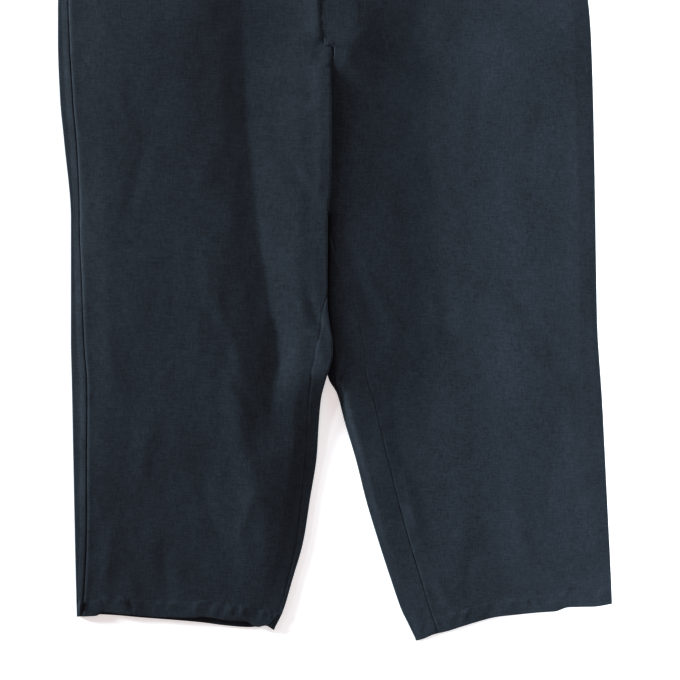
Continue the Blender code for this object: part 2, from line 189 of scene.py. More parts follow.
# %% The linen finish
WEAVE = 0.62  # distance between two yarns, in millimetres
DARK_YARN = (0.0060, 0.0074, 0.0100, 1.0)
PALE_YARN = (0.0200, 0.0262, 0.0345, 1.0)
RUBBED = (0.046, 0.056, 0.070, 1.0)


def linen(name, shift, wear=0.5):
    paint = Paint(name)
    place = paint.add("ShaderNodeTexCoord", output=3)
    warp = paint.noise(paint.scaled(place, (1.3, 13, 40), shift))
    weft = paint.noise(paint.scaled(place, (12, 1.3, 40), shift + 7))
    fine_warp = paint.noise(paint.scaled(place, (0.55, 5, 20), shift + 13), 1.0)
    fine_weft = paint.noise(paint.scaled(place, (4, 0.5, 20), shift + 21), 1.0)
    patches = paint.noise(paint.scaled(place, (60, 85, 60), shift + 3), 3.0)
    flecks = paint.noise(paint.scaled(place, (2.6, 2.6, 2.6), shift + 31), 2.0, 0.6)
    streaks = 0.5 * (warp - 0.5) + 0.6 * (weft - 0.5) + 0.45 * (fine_warp - 0.5)
    streaks = streaks + 0.5 * (fine_weft - 0.5) + 0.65 * (flecks - 0.5) + 0.5 * (patches - 0.5)
    share = 0.47 + streaks * 1.55
    colour = paint.mix(share, DARK_YARN, PALE_YARN)
    rub = paint.add("ShaderNodeAttribute", {"attribute_name": "rub"}, output=2)
    worn = rub * (0.35 + 1.3 * (flecks - 0.3)) * wear
    colour = paint.mix(worn, colour, RUBBED)
    across = paint.add("ShaderNodeSeparateXYZ", None, {0: place}, 0)
    down = paint.add("ShaderNodeSeparateXYZ", None, {0: place}, 1)
    turn = math.pi / (WEAVE * MM)
    over = (across * turn + warp * 2.4).sine()
    under = (down * turn + weft * 2.4).sine()
    checks = (over * under) > 0.0
    weave = checks * abs(over) + (1 - checks) * abs(under)
    height = weave * 0.45 + warp * 0.5 + weft * 0.6 + fine_weft * 0.35 + fine_warp * 0.3
    rough = 0.86 - 0.1 * weave + 0.1 * (patches - 0.5)
    return paint.finish(colour, rough, height, depth=0.16, Specular_IOR_Level=0.08,
                        Sheen_Weight=0.02, Sheen_Roughness=0.5)


LINEN = {
    "front_right": linen("linen_right_front", 0.0),
    "front_left": linen("linen_left_front", 40.0),
    "back_right": linen("linen_right_back", 80.0),
    "back_left": linen("linen_left_back", 120.0),
    "waistband": linen("linen_waistband", 160.0, 0.8),
}

# %% [markdown]
# ## Thread, horn and table
#
# The seams are sewn with navy polyester thread, a little paler and shinier than the linen. The
# waist button is taken as dark horn, with soft streaks. The table is plain white.


# %% Thread, button and floor finishes
def thread(name):
    paint = Paint(name)
    place = paint.add("ShaderNodeTexCoord", output=3)
    ply = paint.noise(paint.scaled(place, (0.25, 0.25, 0.25)), 2.0)
    patches = paint.noise(paint.scaled(place, (9, 9, 9)), 2.0)
    colour = paint.mix(0.35 + 0.6 * (ply - 0.5) + 0.5 * (patches - 0.5),
                       (0.012, 0.016, 0.022, 1.0), (0.036, 0.047, 0.063, 1.0))
    return paint.finish(colour, 0.6 + 0.2 * (ply - 0.5), ply, depth=0.05, Specular_IOR_Level=0.2)


def horn(name):
    paint = Paint(name)
    place = paint.add("ShaderNodeTexCoord", output=3)
    streaks = paint.noise(paint.scaled(place, (1.1, 9, 6)), 4.0, 0.6)
    grains = paint.noise(paint.scaled(place, (0.3, 0.3, 0.3)), 2.0)
    colour = paint.mix(streaks * 1.6 - 0.4, (0.007, 0.007, 0.009, 1.0), (0.052, 0.046, 0.044, 1.0))
    rough = 0.28 + 0.25 * (grains - 0.5) + 0.15 * (streaks - 0.5)
    return paint.finish(colour, rough, streaks + 0.4 * grains, depth=0.03, Specular_IOR_Level=0.5)


def table_top(name):
    paint = Paint(name)
    place = paint.add("ShaderNodeTexCoord", output=3)
    clouds = paint.noise(paint.scaled(place, (420, 380, 400)), 3.0)
    colour = paint.mix(clouds, (0.90, 0.895, 0.89, 1.0), (0.93, 0.93, 0.93, 1.0))
    return paint.finish(colour, 0.85 + 0.05 * (clouds - 0.5), Specular_IOR_Level=0.1,
                        Emission_Color=(1.0, 1.0, 1.0, 1.0), Emission_Strength=TABLE_LIGHT)


TABLE_LIGHT = 0.5
THREAD = thread("navy_thread")
HORN = horn("dark_horn")

# %% [markdown]
# ## Table and light
#
# The photo's background is burnt out to white. The folds' shadows fall to the right, so the main
# light comes in very low from the left, as from a far window. Low light draws the folds of a dark
# cloth clearly. The left leg's outer half is as bright as the right leg, so a narrow beam passes
# over the right leg and falls there, and a weak soft box lights the outer edge. These three are
# bluish and the room's own light is warmer, which is why the shaded folds look brownish. The
# table glows a little, as a light table does.

# %% Sizes of the table and of the lights
TABLE_SIZE = 12.0  # metres
ROOM_LIGHT = 0.262
ROOM_COLOUR = (1.0, 0.69, 0.65, 1.0)
WINDOW_LIGHT = 17.5
WINDOW_SIZE = 9.0  # degrees, so the shadows' edges are soft
WINDOW_HEIGHT = 6.0  # degrees above the table
WINDOW_TURN = 24.0  # degrees from straight left towards the waist
BEAM_POWER = 0.9  # watts
BEAM_SIZE = (1.5, 0.10)  # metres, along the leg and upwards
BEAM_FROM = (-1.00, 0.32)  # metres, across and up
BEAM_AT = 0.38  # metres across: its middle falls here, by the left leg's edge
BEAM_SPREAD = 13.0  # degrees
BEAM_ALONG = 0.14  # metres towards the waist from the garment's middle
BOX_POWER = 3.8  # watts
BOX_SIZE = (1.3, 0.14)
BOX_PLACE = (0.46, -0.14, 0.10)  # close to the left leg's outer edge
LIGHT_COLOUR = (0.77, 0.95, 1.06)

# %% Table, room light and window
bpy.ops.object.select_all(action="DESELECT")
bpy.ops.mesh.primitive_plane_add(size=TABLE_SIZE, location=(0, 0, 0))
floor = bpy.context.object
floor.name = "table"
floor.data.materials.append(table_top("white_table"))

world = bpy.data.worlds.new("room")
world.use_nodes = True
background = world.node_tree.nodes["Background"]
background.inputs["Color"].default_value = ROOM_COLOUR
background.inputs["Strength"].default_value = ROOM_LIGHT
bpy.context.scene.world = world

bpy.ops.object.light_add(type="SUN", location=(-2, 0.6, 1))  # only its turn matters
window = bpy.context.object
window.data.energy = WINDOW_LIGHT
window.data.color = LIGHT_COLOUR
window.data.angle = math.radians(WINDOW_SIZE)
rise = math.radians(WINDOW_HEIGHT)
turn = math.radians(WINDOW_TURN)
level = math.cos(rise)
towards = Vector((-level * math.cos(turn), level * math.sin(turn), math.sin(rise)))
window.rotation_euler = towards.to_track_quat("Z", "Y").to_euler()
bpy.context.scene.view_settings.view_transform = "Standard"
print("window light from", [round(part, 2) for part in towards])


# %% Beam and soft box
def soft_light(place, back, size, power):
    """A rectangular light that shines from place, away from the direction back."""
    bpy.ops.object.light_add(type="AREA", location=place)
    light = bpy.context.object
    light.data.shape = "RECTANGLE"
    light.data.size, light.data.size_y = size
    light.data.energy = power
    light.data.color = LIGHT_COLOUR
    light.visible_camera = False
    light.rotation_euler = back.to_track_quat("Z", "Y").to_euler()
    return light


beam_from = Vector((BEAM_FROM[0], BEAM_ALONG, BEAM_FROM[1]))
beam_at = Vector((BEAM_AT, BEAM_ALONG, 0))
beam = soft_light(beam_from, beam_from - beam_at, BEAM_SIZE, BEAM_POWER)
beam.data.spread = math.radians(BEAM_SPREAD)
box = soft_light(BOX_PLACE, Vector((BOX_PLACE[0], 0, BOX_PLACE[2])), BOX_SIZE, BOX_POWER)
print("beam and box:", beam.data.energy, "and", round(box.data.energy, 2), "W")

# %% [markdown]
# ## The pattern's sizes
#
# A garment is drafted from a table of sizes: how wide it is at each distance down from the
# waist. The same tables shape the solids, so the cloth lies exactly on them. `down` is measured
# from the waist edge, `across` from the middle of the outline, both in millimetres. Left and
# right are the wearer's. A table is read along a smooth curve that never overshoots its rows.


# %% Tables that are read along a smooth curve
def slopes_of(key, values):
    steps = np.diff(values) / np.diff(key)
    slopes = np.concatenate([steps[:1], np.zeros(len(values) - 2), steps[-1:]])
    for i, (before, after) in enumerate(zip(steps, steps[1:]), start=1):
        if before * after > 0:
            slopes[i] = 2 * before * after / (before + after)
    return slopes


class Table:
    def __init__(self, names, rows):
        columns = np.array(rows, dtype=float).T
        self.key = columns[0]
        self.values = dict(zip(names.split()[1:], columns[1:]))
        self.slopes = {name: slopes_of(self.key, column) for name, column in self.values.items()}

    def at(self, name, where):
        """The column's values at one place or at many."""
        where = np.clip(where, self.key[0], self.key[-1])
        i = np.clip(np.searchsorted(self.key, where) - 1, 0, len(self.key) - 2)
        span = self.key[i + 1] - self.key[i]
        t = (where - self.key[i]) / span
        values = self.values[name]
        slopes = self.slopes[name]
        start = values[i] * (1 + 2 * t) * (1 - t) ** 2 + slopes[i] * span * t * (1 - t) ** 2
        end = values[i + 1] * t * t * (3 - 2 * t) - slopes[i + 1] * span * t * t * (1 - t)
        return start + end


def ease(value, start, end):
    """0 at start, 1 at end, and smooth between them."""
    t = np.clip((value - start) / (end - start), 0.0, 1.0)
    return t * t * (3 - 2 * t)


def slope(value, start, end):
    """0 at start, 1 at end, and nearly straight between them."""
    t = np.clip((value - start) / (end - start), 0.0, 1.0)
    return (2 * t + t * t * (3 - 2 * t)) / 3


def arch(value, start, end):
    """0 at start, 1 at end: a straight rise that gets gentler towards the end."""
    t = np.clip((value - start) / (end - start), 0.0, 1.0)
    return t * (3 - t) / 2


def unit(vectors):
    """The same directions, each 1 long."""
    return vectors / np.linalg.norm(vectors, axis=-1, keepdims=True)


def bell(value, width, power=2):
    """1 at 0, and fading away to both sides within about the width."""
    return np.exp(-(value / width) ** power)


# %% Outlines and seams
# edge: outline; seam: side seam in from the outline, on the front
RIGHT_SIDE = Table("down edge seam", [
    (40, -249.0, 12.0), (80, -278.0, 12.5), (120, -301.0, 12.5), (150, -313.5, 12.5),
    (175, -318.5, 12.6), (216, -318.5, 14.0), (285, -316.0, 15.5), (331, -311.6, 15.0),
    (423, -303.6, 10.6), (500, -303.6, 13.5), (561, -303.6, 15.6), (611, -302.5, 18.0),
    (700, -300.8, 16.0), (780, -299.2, 14.0), (837, -297.9, 10.5), (880, -296.7, 5.5),
])
LEFT_SIDE = Table("down edge", [
    (40, 221.0), (80, 249.5), (120, 272.0), (150, 286.0), (172, 291.0), (216, 294.4),
    (285, 296.7), (400, 299.0), (538, 301.3), (630, 307.0), (676, 309.4), (745, 312.8),
    (814, 316.3), (864, 318.5),
])
# edge: outermost line of the centre fold and, below the crotch, the right leg's inner edge;
# past: how far the front goes on past the top of it; lift: how high it lies on what is under it
RIGHT_FOLD = Table("down edge past lift", [
    (40, 20.0, -1.0, 0.0), (185, 20.0, -1.0, 0.0), (210, 10.6, -1.0, 0.0), (223, 0.8, -1.0, 0.0),
    (235, 1.2, -1.0, 0.0), (243, -2.0, -0.5, 0.9), (250, -4.4, 1.5, 2.7), (257, -4.4, 5.0, 3.7),
    (268, -4.0, 12.0, 4.4), (332, -3.5, 12.0, 4.4), (382, -4.6, 12.0, 4.4), (420, -8.0, 11.0, 4.4),
    (469, -8.4, 9.0, 4.4), (480, -8.5, 7.0, 4.4), (490, -8.6, 5.0, 4.4), (497, -8.6, 3.2, 4.4),
    (504, -8.6, 1.6, 4.4), (511, -8.6, 0.0, 4.4), (518, -8.6, -2.2, 4.4), (530, -7.8, -6.5, 4.4),
    (544, -5.8, -10.0, 4.4), (567, -2.3, -18.0, 4.4), (576, -2.3, -20.0, 4.4),
    (596, -6.9, -20.0, 4.4), (607, -10.4, -17.0, 3.5), (630, -16.1, -13.7, 1.8),
    (660, -18.7, -13.4, 0.4), (693, -20.7, -13.4, 0.0), (745, -28.8, -10.0, 0.0),
    (791, -36.0, -8.0, 0.0), (837, -49.0, -5.0, 0.0), (873, -59.8, -3.6, 0.0),
    (894, -70.2, -8.0, 0.0),
])
# edge: the left front's centre edge, above the crotch
LEFT_CENTRE = Table("down edge", [
    (40, -15.4), (172, -15.4), (193, -15.0), (223, -11.5), (225.5, -1.2), (235, -0.8),
    (239, -2.1), (243, -3.5), (246, -4.6), (250, -6.0), (257, -7.5), (268, -14.3), (385, -14.3),
    (417.5, -8.5),
])
# the left leg's inner edge, and its inseam in from that edge on the front
LEFT_INNER = Table("down edge seam", [
    (417.5, -13.4, 4.5), (429, -14.4, 7.5), (452, -16.1, 14.0), (475, -16.8, 22.0),
    (504, -17.3, 33.0), (538, -15.5, 42.0), (567, -12.5, 45.0), (596, -9.8, 45.0),
    (607, -6.9, 44.0), (622, 2.0, 40.0), (653, 10.4, 39.5), (699, 24.1, 37.0),
    (745, 35.6, 37.0), (791, 49.4, 36.0), (837, 64.4, 35.0), (873, 77.0, 33.0),
    (883, 82.0, 32.0), (906.2, 93.2, 28.0),
])

# The front's crown along the centre. height: how high the layers there lie above the rest, and
# left: how high the left front does; kink: where the right front starts to climb to it, in from
# the centre line; fall: where the left front starts to fall from it, and end: where it has fallen
CROWN = Table("down height left kink fall end", [
    (40, 0.0, 0.0, 118, 24, 104), (60, 0.1, 0.1, 116, 24, 104),
    (160, 5.6, 5.6, 103, 24, 104), (215, 6.6, 6.6, 101, 24, 106),
    (245, 6.6, 6.6, 99, 8, 106), (268, 6.6, 6.6, 98, 2, 106),
    (323, 6.6, 6.6, 96, 2, 108), (435, 6.6, 6.6, 80, 2, 114),
    (539, 6.2, 6.2, 64, 2, 132), (590, 5.4, 5.4, 59, 4, 146),
    (631, 2.8, 4.0, 57, 12, 156), (680, 0.9, 2.4, 56, 26, 164),
    (730, 0.0, 1.6, 56, 40, 170), (800, 0.0, 0.9, 56, 60, 176),
    (850, 0.0, 0.3, 56, 76, 180), (885, 0.0, 0.0, 56, 86, 184),
])

# %% Hem lines
RIGHT_FRONT_HEM = Table("across down", [
    (-296.7, 878.6), (-274, 877.5), (-267, 873.5), (-237, 876.3), (-205, 878.9), (-162, 879.8),
    (-153, 878.3), (-120, 883.2), (-103, 883.6), (-88, 890.4), (-80, 888.6), (-70.2, 893.8),
])
RIGHT_BACK_HEM = Table("across down", [
    (-296.7, 878.6), (-274, 876.0), (-217, 880.0), (-155, 885.0), (-123, 889.0), (-98, 890.7),
    (-86, 889.4), (-80, 888.6), (-70.2, 893.8),
])
LEFT_HEM = Table("across down", [
    (93.2, 906.2), (102, 903.6), (112, 899.3), (130, 894.7), (149, 888.6), (167, 883.2),
    (185, 878.8), (204, 876.6), (240, 873.1), (252, 872.4), (269, 867.4), (296, 867.0),
    (318.5, 863.7),
])
HEM_DOWN = 880.0  # where the hems would be if they were straight
HEM_REACH = 110.0  # the hem's own line fades out this far above it
CROTCH_DOWN = 417.5
for title, hem in (("right front", RIGHT_FRONT_HEM), ("left", LEFT_HEM)):
    print(title, "hem:", round(hem.key[-1] - hem.key[0]), "mm wide")

# %% [markdown]
# ## How the cloth lies
#
# The trousers lie on their back. Each leg is a flattened tube: the back of the cloth on the
# table, the front on it, and a small roll along each side. At the centre the right leg's cloth
# folds over the left leg, so the layers there climb. Broad soft folds run down the front. Each
# one is a row: its crest runs from (across, down) to (across_end, down_end), `bow` bends it
# sideways, and `before` and `after` are its widths towards the wearer's right and left.

# %% The broad folds
FOLDS = [
    # across, down, across_end, down_end, bow, before, after, height
    (-187, 30, -98, 880, 0, 110, 82, 7.8),
    (-262, 60, -260, 900, 3, 30, 60, 2.0),
    (-60, 640, -108, 905, 0, 50, 30, 1.6),
    (228, 60, 236, 880, 0, 72, 80, 4.2),
    (208, 500, 226, 690, 6, 26, 34, 1.4),
]
FOLD_GROWN = 0.22  # share of its length at which a fold has its full height
FOLD_FADING = 0.62  # and at which it starts to fade


def fold_height(across, down):
    total = 0.0
    for start, top, end, bottom, bow, before, after, height in FOLDS:
        t = (down - top) / (bottom - top)
        crest = start + (end - start) * t + bow * np.sin(np.pi * np.clip(t, 0, 1))
        fade = ease(t, 0, FOLD_GROWN) * ease(t, 1, FOLD_FADING)
        width = np.where(across < crest, before, after)
        total = total + height * fade * bell(across - crest, width)
    return total


# %% [markdown]
# ## Creases
#
# Soft linen keeps small creases from wear and from being folded. They are listed here one by one,
# each as a soft ridge (height above 0) or trough (below 0) from one point to another. They are
# uneven in length, depth and spacing, as in the photo: strokes near the hips and along the side,
# pull lines towards the crotch, and slack wrinkles near the hems. The back isn't seen, and gets
# creases of the same kind. Below them lies a slow unevenness, seeded so that it never changes.

# %% Creases of the front and of the back
FRONT_CREASES = [
    # across, down, across_end, down_end, width, height
    (-272, 438, -222, 460, 5.0, -0.55),
    (-268, 446, -214, 470, 5.5, 0.50),
    (-46, 372, -22, 404, 5.0, -0.75),
    (-38, 366, -12, 392, 5.5, 0.60),
    (-60, 398, -30, 428, 6.0, 0.45),
    (-32, 500, -12, 548, 5.0, -0.65),
    (-40, 512, -20, 566, 5.5, 0.55),
    (-22, 545, -8, 590, 4.5, 0.45),
    (-96, 240, -58, 262, 7.0, 0.40),
    (-104, 300, -60, 312, 8.0, -0.40),
    (-250, 250, -228, 330, 9.0, 0.45),
    (-214, 340, -236, 420, 8.0, -0.45),
    (-150, 470, -118, 560, 9.0, 0.50),
    (-128, 560, -96, 640, 7.5, -0.55),
    (-260, 560, -240, 640, 8.0, 0.40),
    (-204, 640, -222, 730, 9.0, 0.45),
    (-150, 716, -128, 800, 8.0, -0.45),
    (-252, 772, -262, 846, 7.0, 0.40),
    (-92, 740, -112, 800, 7.0, 0.45),
    (-196, 800, -186, 856, 6.5, -0.40),
    (12, 236, 44, 262, 6.0, 0.50),
    (6, 262, 30, 300, 6.5, -0.60),
    (16, 330, 44, 352, 7.0, 0.40),
    (20, 470, 60, 560, 8.0, -0.70),
    (30, 462, 74, 548, 8.0, 0.45),
    (70, 620, 92, 716, 6.0, -0.80),
    (96, 610, 86, 706, 7.0, -0.70),
    (84, 720, 100, 790, 7.0, 0.45),
    (170, 500, 252, 610, 8.0, 0.65),
    (196, 492, 276, 596, 8.0, -0.60),
    (152, 560, 214, 652, 9.0, -0.50),
    (226, 520, 288, 586, 6.5, 0.55),
    (120, 300, 132, 400, 9.0, 0.45),
    (174, 240, 162, 340, 9.0, -0.45),
    (236, 300, 226, 380, 8.0, -0.45),
    (278, 330, 288, 420, 6.0, 0.45),
    (130, 470, 110, 560, 9.0, 0.40),
    (248, 820, 290, 838, 4.5, -1.25),
    (240, 828, 284, 848, 5.0, 1.00),
    (262, 780, 296, 812, 6.0, 0.80),
    (206, 760, 238, 836, 7.5, 0.50),
    (160, 800, 152, 862, 6.5, -0.45),
    (118, 830, 136, 876, 6.0, 0.45),
    (270, 640, 286, 720, 7.0, 0.50),
    (256, 690, 246, 760, 7.5, -0.45),
    (-113, 560, -84, 760, 16.0, 1.15),
    (98, 570, 122, 800, 34.0, -1.3),
    (-66, 540, -60, 690, 12.0, -0.5),
]
BACK_CREASES = [
    # across, down, across_end, down_end, width, height
    (-210, 214, -80, 250, 8.0, 0.55),
    (-196, 262, -60, 286, 7.0, 0.45),
    (-120, 330, -30, 392, 7.0, 0.60),
    (-150, 372, -46, 440, 8.0, 0.50),
    (-260, 470, -180, 500, 6.0, 0.45),
    (-242, 520, -130, 560, 8.0, 0.55),
    (-110, 540, -70, 700, 9.0, 0.50),
    (-230, 640, -210, 800, 9.0, 0.55),
    (-150, 720, -120, 850, 8.0, 0.45),
    (60, 240, 208, 212, 8.0, 0.55),
    (44, 286, 180, 268, 7.0, 0.45),
    (20, 392, 118, 334, 7.0, 0.60),
    (36, 446, 150, 384, 8.0, 0.45),
    (120, 548, 246, 512, 8.0, 0.55),
    (190, 490, 262, 476, 6.0, 0.45),
    (80, 560, 120, 720, 9.0, 0.50),
    (206, 620, 226, 780, 9.0, 0.55),
    (140, 740, 170, 850, 8.0, 0.45),
    (246, 800, 288, 838, 6.0, 0.50),
]


CREASE_BOW = 0.05  # sideways bend, as a share of the length
CREASE_ENDS = (-0.25, 0.3)  # a crease grows between these shares of its length, at each end


def crease_height(rows, across, down):
    total = 0.0
    for start, top, end, bottom, width, height in rows:
        length = math.hypot(end - start, bottom - top)
        along = ((across - start) * (end - start) + (down - top) * (bottom - top)) / length
        aside = ((across - start) * (bottom - top) - (down - top) * (end - start)) / length
        share = along / length
        aside = aside + CREASE_BOW * length * np.sin(np.pi * np.clip(share, 0, 1))
        fade = ease(share, *CREASE_ENDS) * ease(1 - share, *CREASE_ENDS)
        total = total + height * fade * bell(aside, width)
    return total


print("creases:", len(FRONT_CREASES), "on the front,", len(BACK_CREASES), "on the back")

# %% Slow unevenness, and the puckers along a seam
CLOTH_SEED = 11
dice = np.random.default_rng(CLOTH_SEED)
GRID = dice.uniform(-1, 1, (6, 64, 64))
RIPPLE = dice.uniform(-1, 1, (8, 512))
UNEVEN = [
    # layer, across, down, height: the size of its cells and how high they stand
    (0, 64.0, 120.0, 0.55),
    (1, 30.0, 52.0, 0.36),
    (2, 13.0, 19.0, 0.15),
]


def smooth_grid(layer, x, y):
    column = np.floor(x).astype(int)
    row = np.floor(y).astype(int)
    u = ease(x - column, 0, 1)
    v = ease(y - row, 0, 1)
    corner = [[GRID[layer, (row + r) % 64, (column + c) % 64] for c in (0, 1)] for r in (0, 1)]
    upper = corner[0][0] * (1 - u) + corner[0][1] * u
    lower = corner[1][0] * (1 - u) + corner[1][1] * u
    return upper * (1 - v) + lower * v


def unevenness(across, down):
    total = 0.0
    for layer, wide, long, height in UNEVEN:
        total = total + height * smooth_grid(layer, across / wide + 20, down / long)
    return total


def puckers(layer, along, step):
    """Between -1 and 1, from one pucker to the next along a seam."""
    place = np.abs(along) / step
    index = np.floor(place).astype(int)
    share = ease(place - index, 0, 1)
    return RIPPLE[layer, index % 512] * (1 - share) + RIPPLE[layer, (index + 1) % 512] * share


# %% [markdown]
# ## Heights of the layers
#
# The sheets are half a millimetre thick, thinner than the solids' walls, so they lie on the same
# forms with room between the layers. The front layer carries the broad folds, the creases, the
# raised felled side seam, and the step where the hem's turn-up ends inside.

# %% Sizes of the sewing
CLOTH = 0.55  # thickness of the cloth
ROLL = 1.0  # radius of the cloth's middle where it rolls over an edge
TOUCH = 0.06  # gap between two pieces that are sewn together
HEM_TURN = 19.0  # depth of the hem's turn-up
FELL = 6.5  # width of the felled side seam
SIDE_SEAM_UNDER = 7.0  # left side seam, in from the edge on the underside
CENTRE_BACK = -14.6  # centre back seam, across the garment
BAND_DEPTH = 40.0
FLY_RAISE = 0.5  # the fly's upper layer stands above its underlap
FLY_RAISE_END = (22.0, 46.0)  # and that fades out between these places across
FLY_FOLD = 1.1  # below the fly the right front rises this much before it folds
SLIT_PLUMP = dict(beside=2.2, height=1.55, before=14.0, after=1.6)  # cloth plumped up by the fly
FLY_STITCH = Table("down across", [
    (40, 31.0), (176, 31.0), (193, 30.0), (205, 25.3), (213, 18.0), (218, 11.0), (222, 5.0),
    (224.6, 0.5),
])
LIFT_START_UNDER = 24.0  # the under layer starts to climb this far in from the fold
LIFT_REST = 11.0  # the under layer rests on the other leg from here
LIFT_FULL = 2.0  # and both layers are at full height from here to the fold
REST_SHARE = 0.85  # share of the climb at which the under layer rests
STITCH_ROOM = 0.3  # the cloth on the table rises this much where it is stitched
SEAM_ROOM_FADE = 12.0  # and the centre back seam's rise fades out this far below the seat
THIN_LIFT = 0.9  # thin cloth climbs less at the centre fold than the solids
SWELL = 3.4  # the upper layer swells beside the fold's upper end
SWELL_DOWN = (190.0, 285.0)
SWELL_ACROSS = (11.0, 26.0)
SWELL_END = 300.0  # from here down it lies as high as the rest of the fold
CROWN_EDGE = (1.0, 11.0)  # the left front climbs to its crown this far in from its edge
CENTRE_LINE = -4.0
FOLD_FADE_OUTER = 22.0  # folds flatten out towards the rolled side edges
FOLD_FADE_INNER = (4.0, 30.0)  # and, between these distances, towards the inner edges
FOLD_FADE_CENTRE = -13.0  # the right front's folds flatten out before this line
SLOW_RAISE = 0.6  # unevenness is measured from this height above the folds
SLOW_LOWEST = -0.3  # and never goes below this
HEM_STITCH = HEM_TURN - 1.0  # the hem's stitches, up from the hem line
HEM_STEP = 0.34  # the front stands out this much over the turn-up
INSEAM_STITCH = 2.0  # stitches beside the inseam
FELL_RISE = 0.30  # and over the felled side seam
# height and width of each groove and ridge, and how far beside its line it lies
HEM_GROOVE = (-0.32, 1.5)
SIDE_MARKS = [(-0.38, 1.0, 0.0), (-0.16, 1.2, -FELL), (0.20, 2.6, 3.4)]
FLY_GROOVE = (-0.26, 1.6)
INSEAM_GROOVE = (-0.34, 1.0)
INSEAM_RIDGES = (0.06, 2.0, 3.0)
# layer, step, height and width of the puckers along a seam
SIDE_PUCKERS = (2, 12.0, 0.26, 7.0)
INSEAM_PUCKERS = (3, 10.0, 0.24, 7.0)
# the ripples of the hem's turn-up: layer, slant, step and share; then height, middle and width
ROPE = [(0, -0.55, 7.5, 1.0), (1, 0.4, 4.6, 0.7)]
ROPE_SIZE = (0.42, 11.5, 8.0)


# %% The front layer
def along_seam(size, down, aside):
    layer, step, height, width = size
    return height * puckers(layer, down, step) * bell(aside, width)


def sewn_relief(across, down, right_side):
    """Grooves, ridges and puckers that the sewing leaves on the front."""
    hem = (RIGHT_FRONT_HEM if right_side else LEFT_HEM).at("down", across)
    above = hem - down
    turned = HEM_STEP * ease(above, HEM_TURN + 2.2, HEM_TURN - 1.4)
    groove = HEM_GROOVE[0] * bell(above - HEM_STITCH, HEM_GROOVE[1])
    rope = sum(share * puckers(layer, across + slant * above, step)
               for layer, slant, step, share in ROPE)
    height, middle, width = ROPE_SIZE
    relief = turned + groove + height * rope * bell(above - middle, width)
    if right_side:
        aside = across - RIGHT_SIDE.at("edge", down) - RIGHT_SIDE.at("seam", down)
        relief = relief + FELL_RISE * ease(aside, 0.4, -0.6) * ease(aside, -FELL - 2.0, -FELL)
        for height, width, beside in SIDE_MARKS:
            relief = relief + height * bell(aside - beside, width)
        relief = relief + along_seam(SIDE_PUCKERS, down, aside - 1.5)
        inner = RIGHT_FOLD.at("edge", down) + RIGHT_FOLD.at("past", down)
        on_top = ease(RIGHT_FOLD.at("past", down), -2.5, -5.0)
        beside = across - LEFT_CENTRE.at("edge", down) + SLIT_PLUMP["beside"]
        width = np.where(beside < 0, SLIT_PLUMP["before"], SLIT_PLUMP["after"])
        by_slit = SLIT_PLUMP["height"] * ease(down, 222, 214)
        by_slit = by_slit + FLY_FOLD * ease(down, 223, 231) * ease(down, 254, 244)
        relief = relief + by_slit * bell(beside, width)
    else:
        inner = LEFT_INNER.at("edge", down) + LEFT_INNER.at("seam", down)
        on_top = ease(down, 424, 445)
        fly = (across - FLY_STITCH.at("across", down)) * 0.9
        relief = relief + FLY_GROOVE[0] * bell(fly, FLY_GROOVE[1]) * ease(down, 226, 222)
    inseam = across - inner
    height, width, beside = INSEAM_RIDGES
    line = INSEAM_GROOVE[0] * bell(inseam, INSEAM_GROOVE[1])
    line = line + height * bell(np.abs(inseam) - beside, width)
    return relief + (line + along_seam(INSEAM_PUCKERS, down, inseam)) * on_top


def front_height(across, down, right_side):
    """Height of the middle of the front's cloth above the table."""
    outer = (RIGHT_SIDE if right_side else LEFT_SIDE).at("edge", down)
    fold_edge = RIGHT_FOLD.at("edge", down)
    if right_side:
        from_inner = np.minimum(fold_edge, FOLD_FADE_CENTRE) - across
        from_edge = fold_edge - across
    else:
        from_inner = across - np.maximum(fold_edge, LEFT_INNER.at("edge", down))
        from_edge = np.where(down < CROTCH_DOWN, 99.0, across - LEFT_INNER.at("edge", down))
    from_outer = np.abs(across - outer)
    fade = ease(from_outer, 0, FOLD_FADE_OUTER) * ease(from_inner, *FOLD_FADE_INNER)
    small = ease(from_outer, 1.4, 4.5) * ease(from_edge, 1.4, 5.0)
    broad = ease(from_outer, 2, 16) * ease(from_edge, 2, 14)
    height = CLOTH / 2 + 2 * ROLL + fold_height(across, down) * fade
    slow = unevenness(across, down) + SLOW_RAISE + crease_height(FRONT_CREASES, across, down)
    height = height + np.maximum(slow, SLOW_LOWEST) * broad
    height = height + sewn_relief(across, down, right_side) * small
    if right_side:
        from_centre = np.minimum(fold_edge, CENTRE_LINE) - across
        share = ease(down, SWELL_END, SWELL_DOWN[1]) * ease(from_centre, *SWELL_ACROSS)
        swell = ease(down, *SWELL_DOWN) * SWELL
        lift = THIN_LIFT * (RIGHT_FOLD.at("lift", down) * (1 - share) + swell * share)
        climb = arch(from_centre, CROWN.at("kink", down), LIFT_FULL)
        return height + (lift + CROWN.at("height", down)) * climb
    fly = ease(down, 230, 221) * ease(across, FLY_RAISE_END[1], FLY_RAISE_END[0])
    crown = CROWN.at("left", down) * slope(across, CROWN.at("end", down), CROWN.at("fall", down))
    below = ease(across - LEFT_INNER.at("edge", down), *CROWN_EDGE)
    return height + FLY_RAISE * fly + crown * np.where(down > CROTCH_DOWN, below, 1.0)


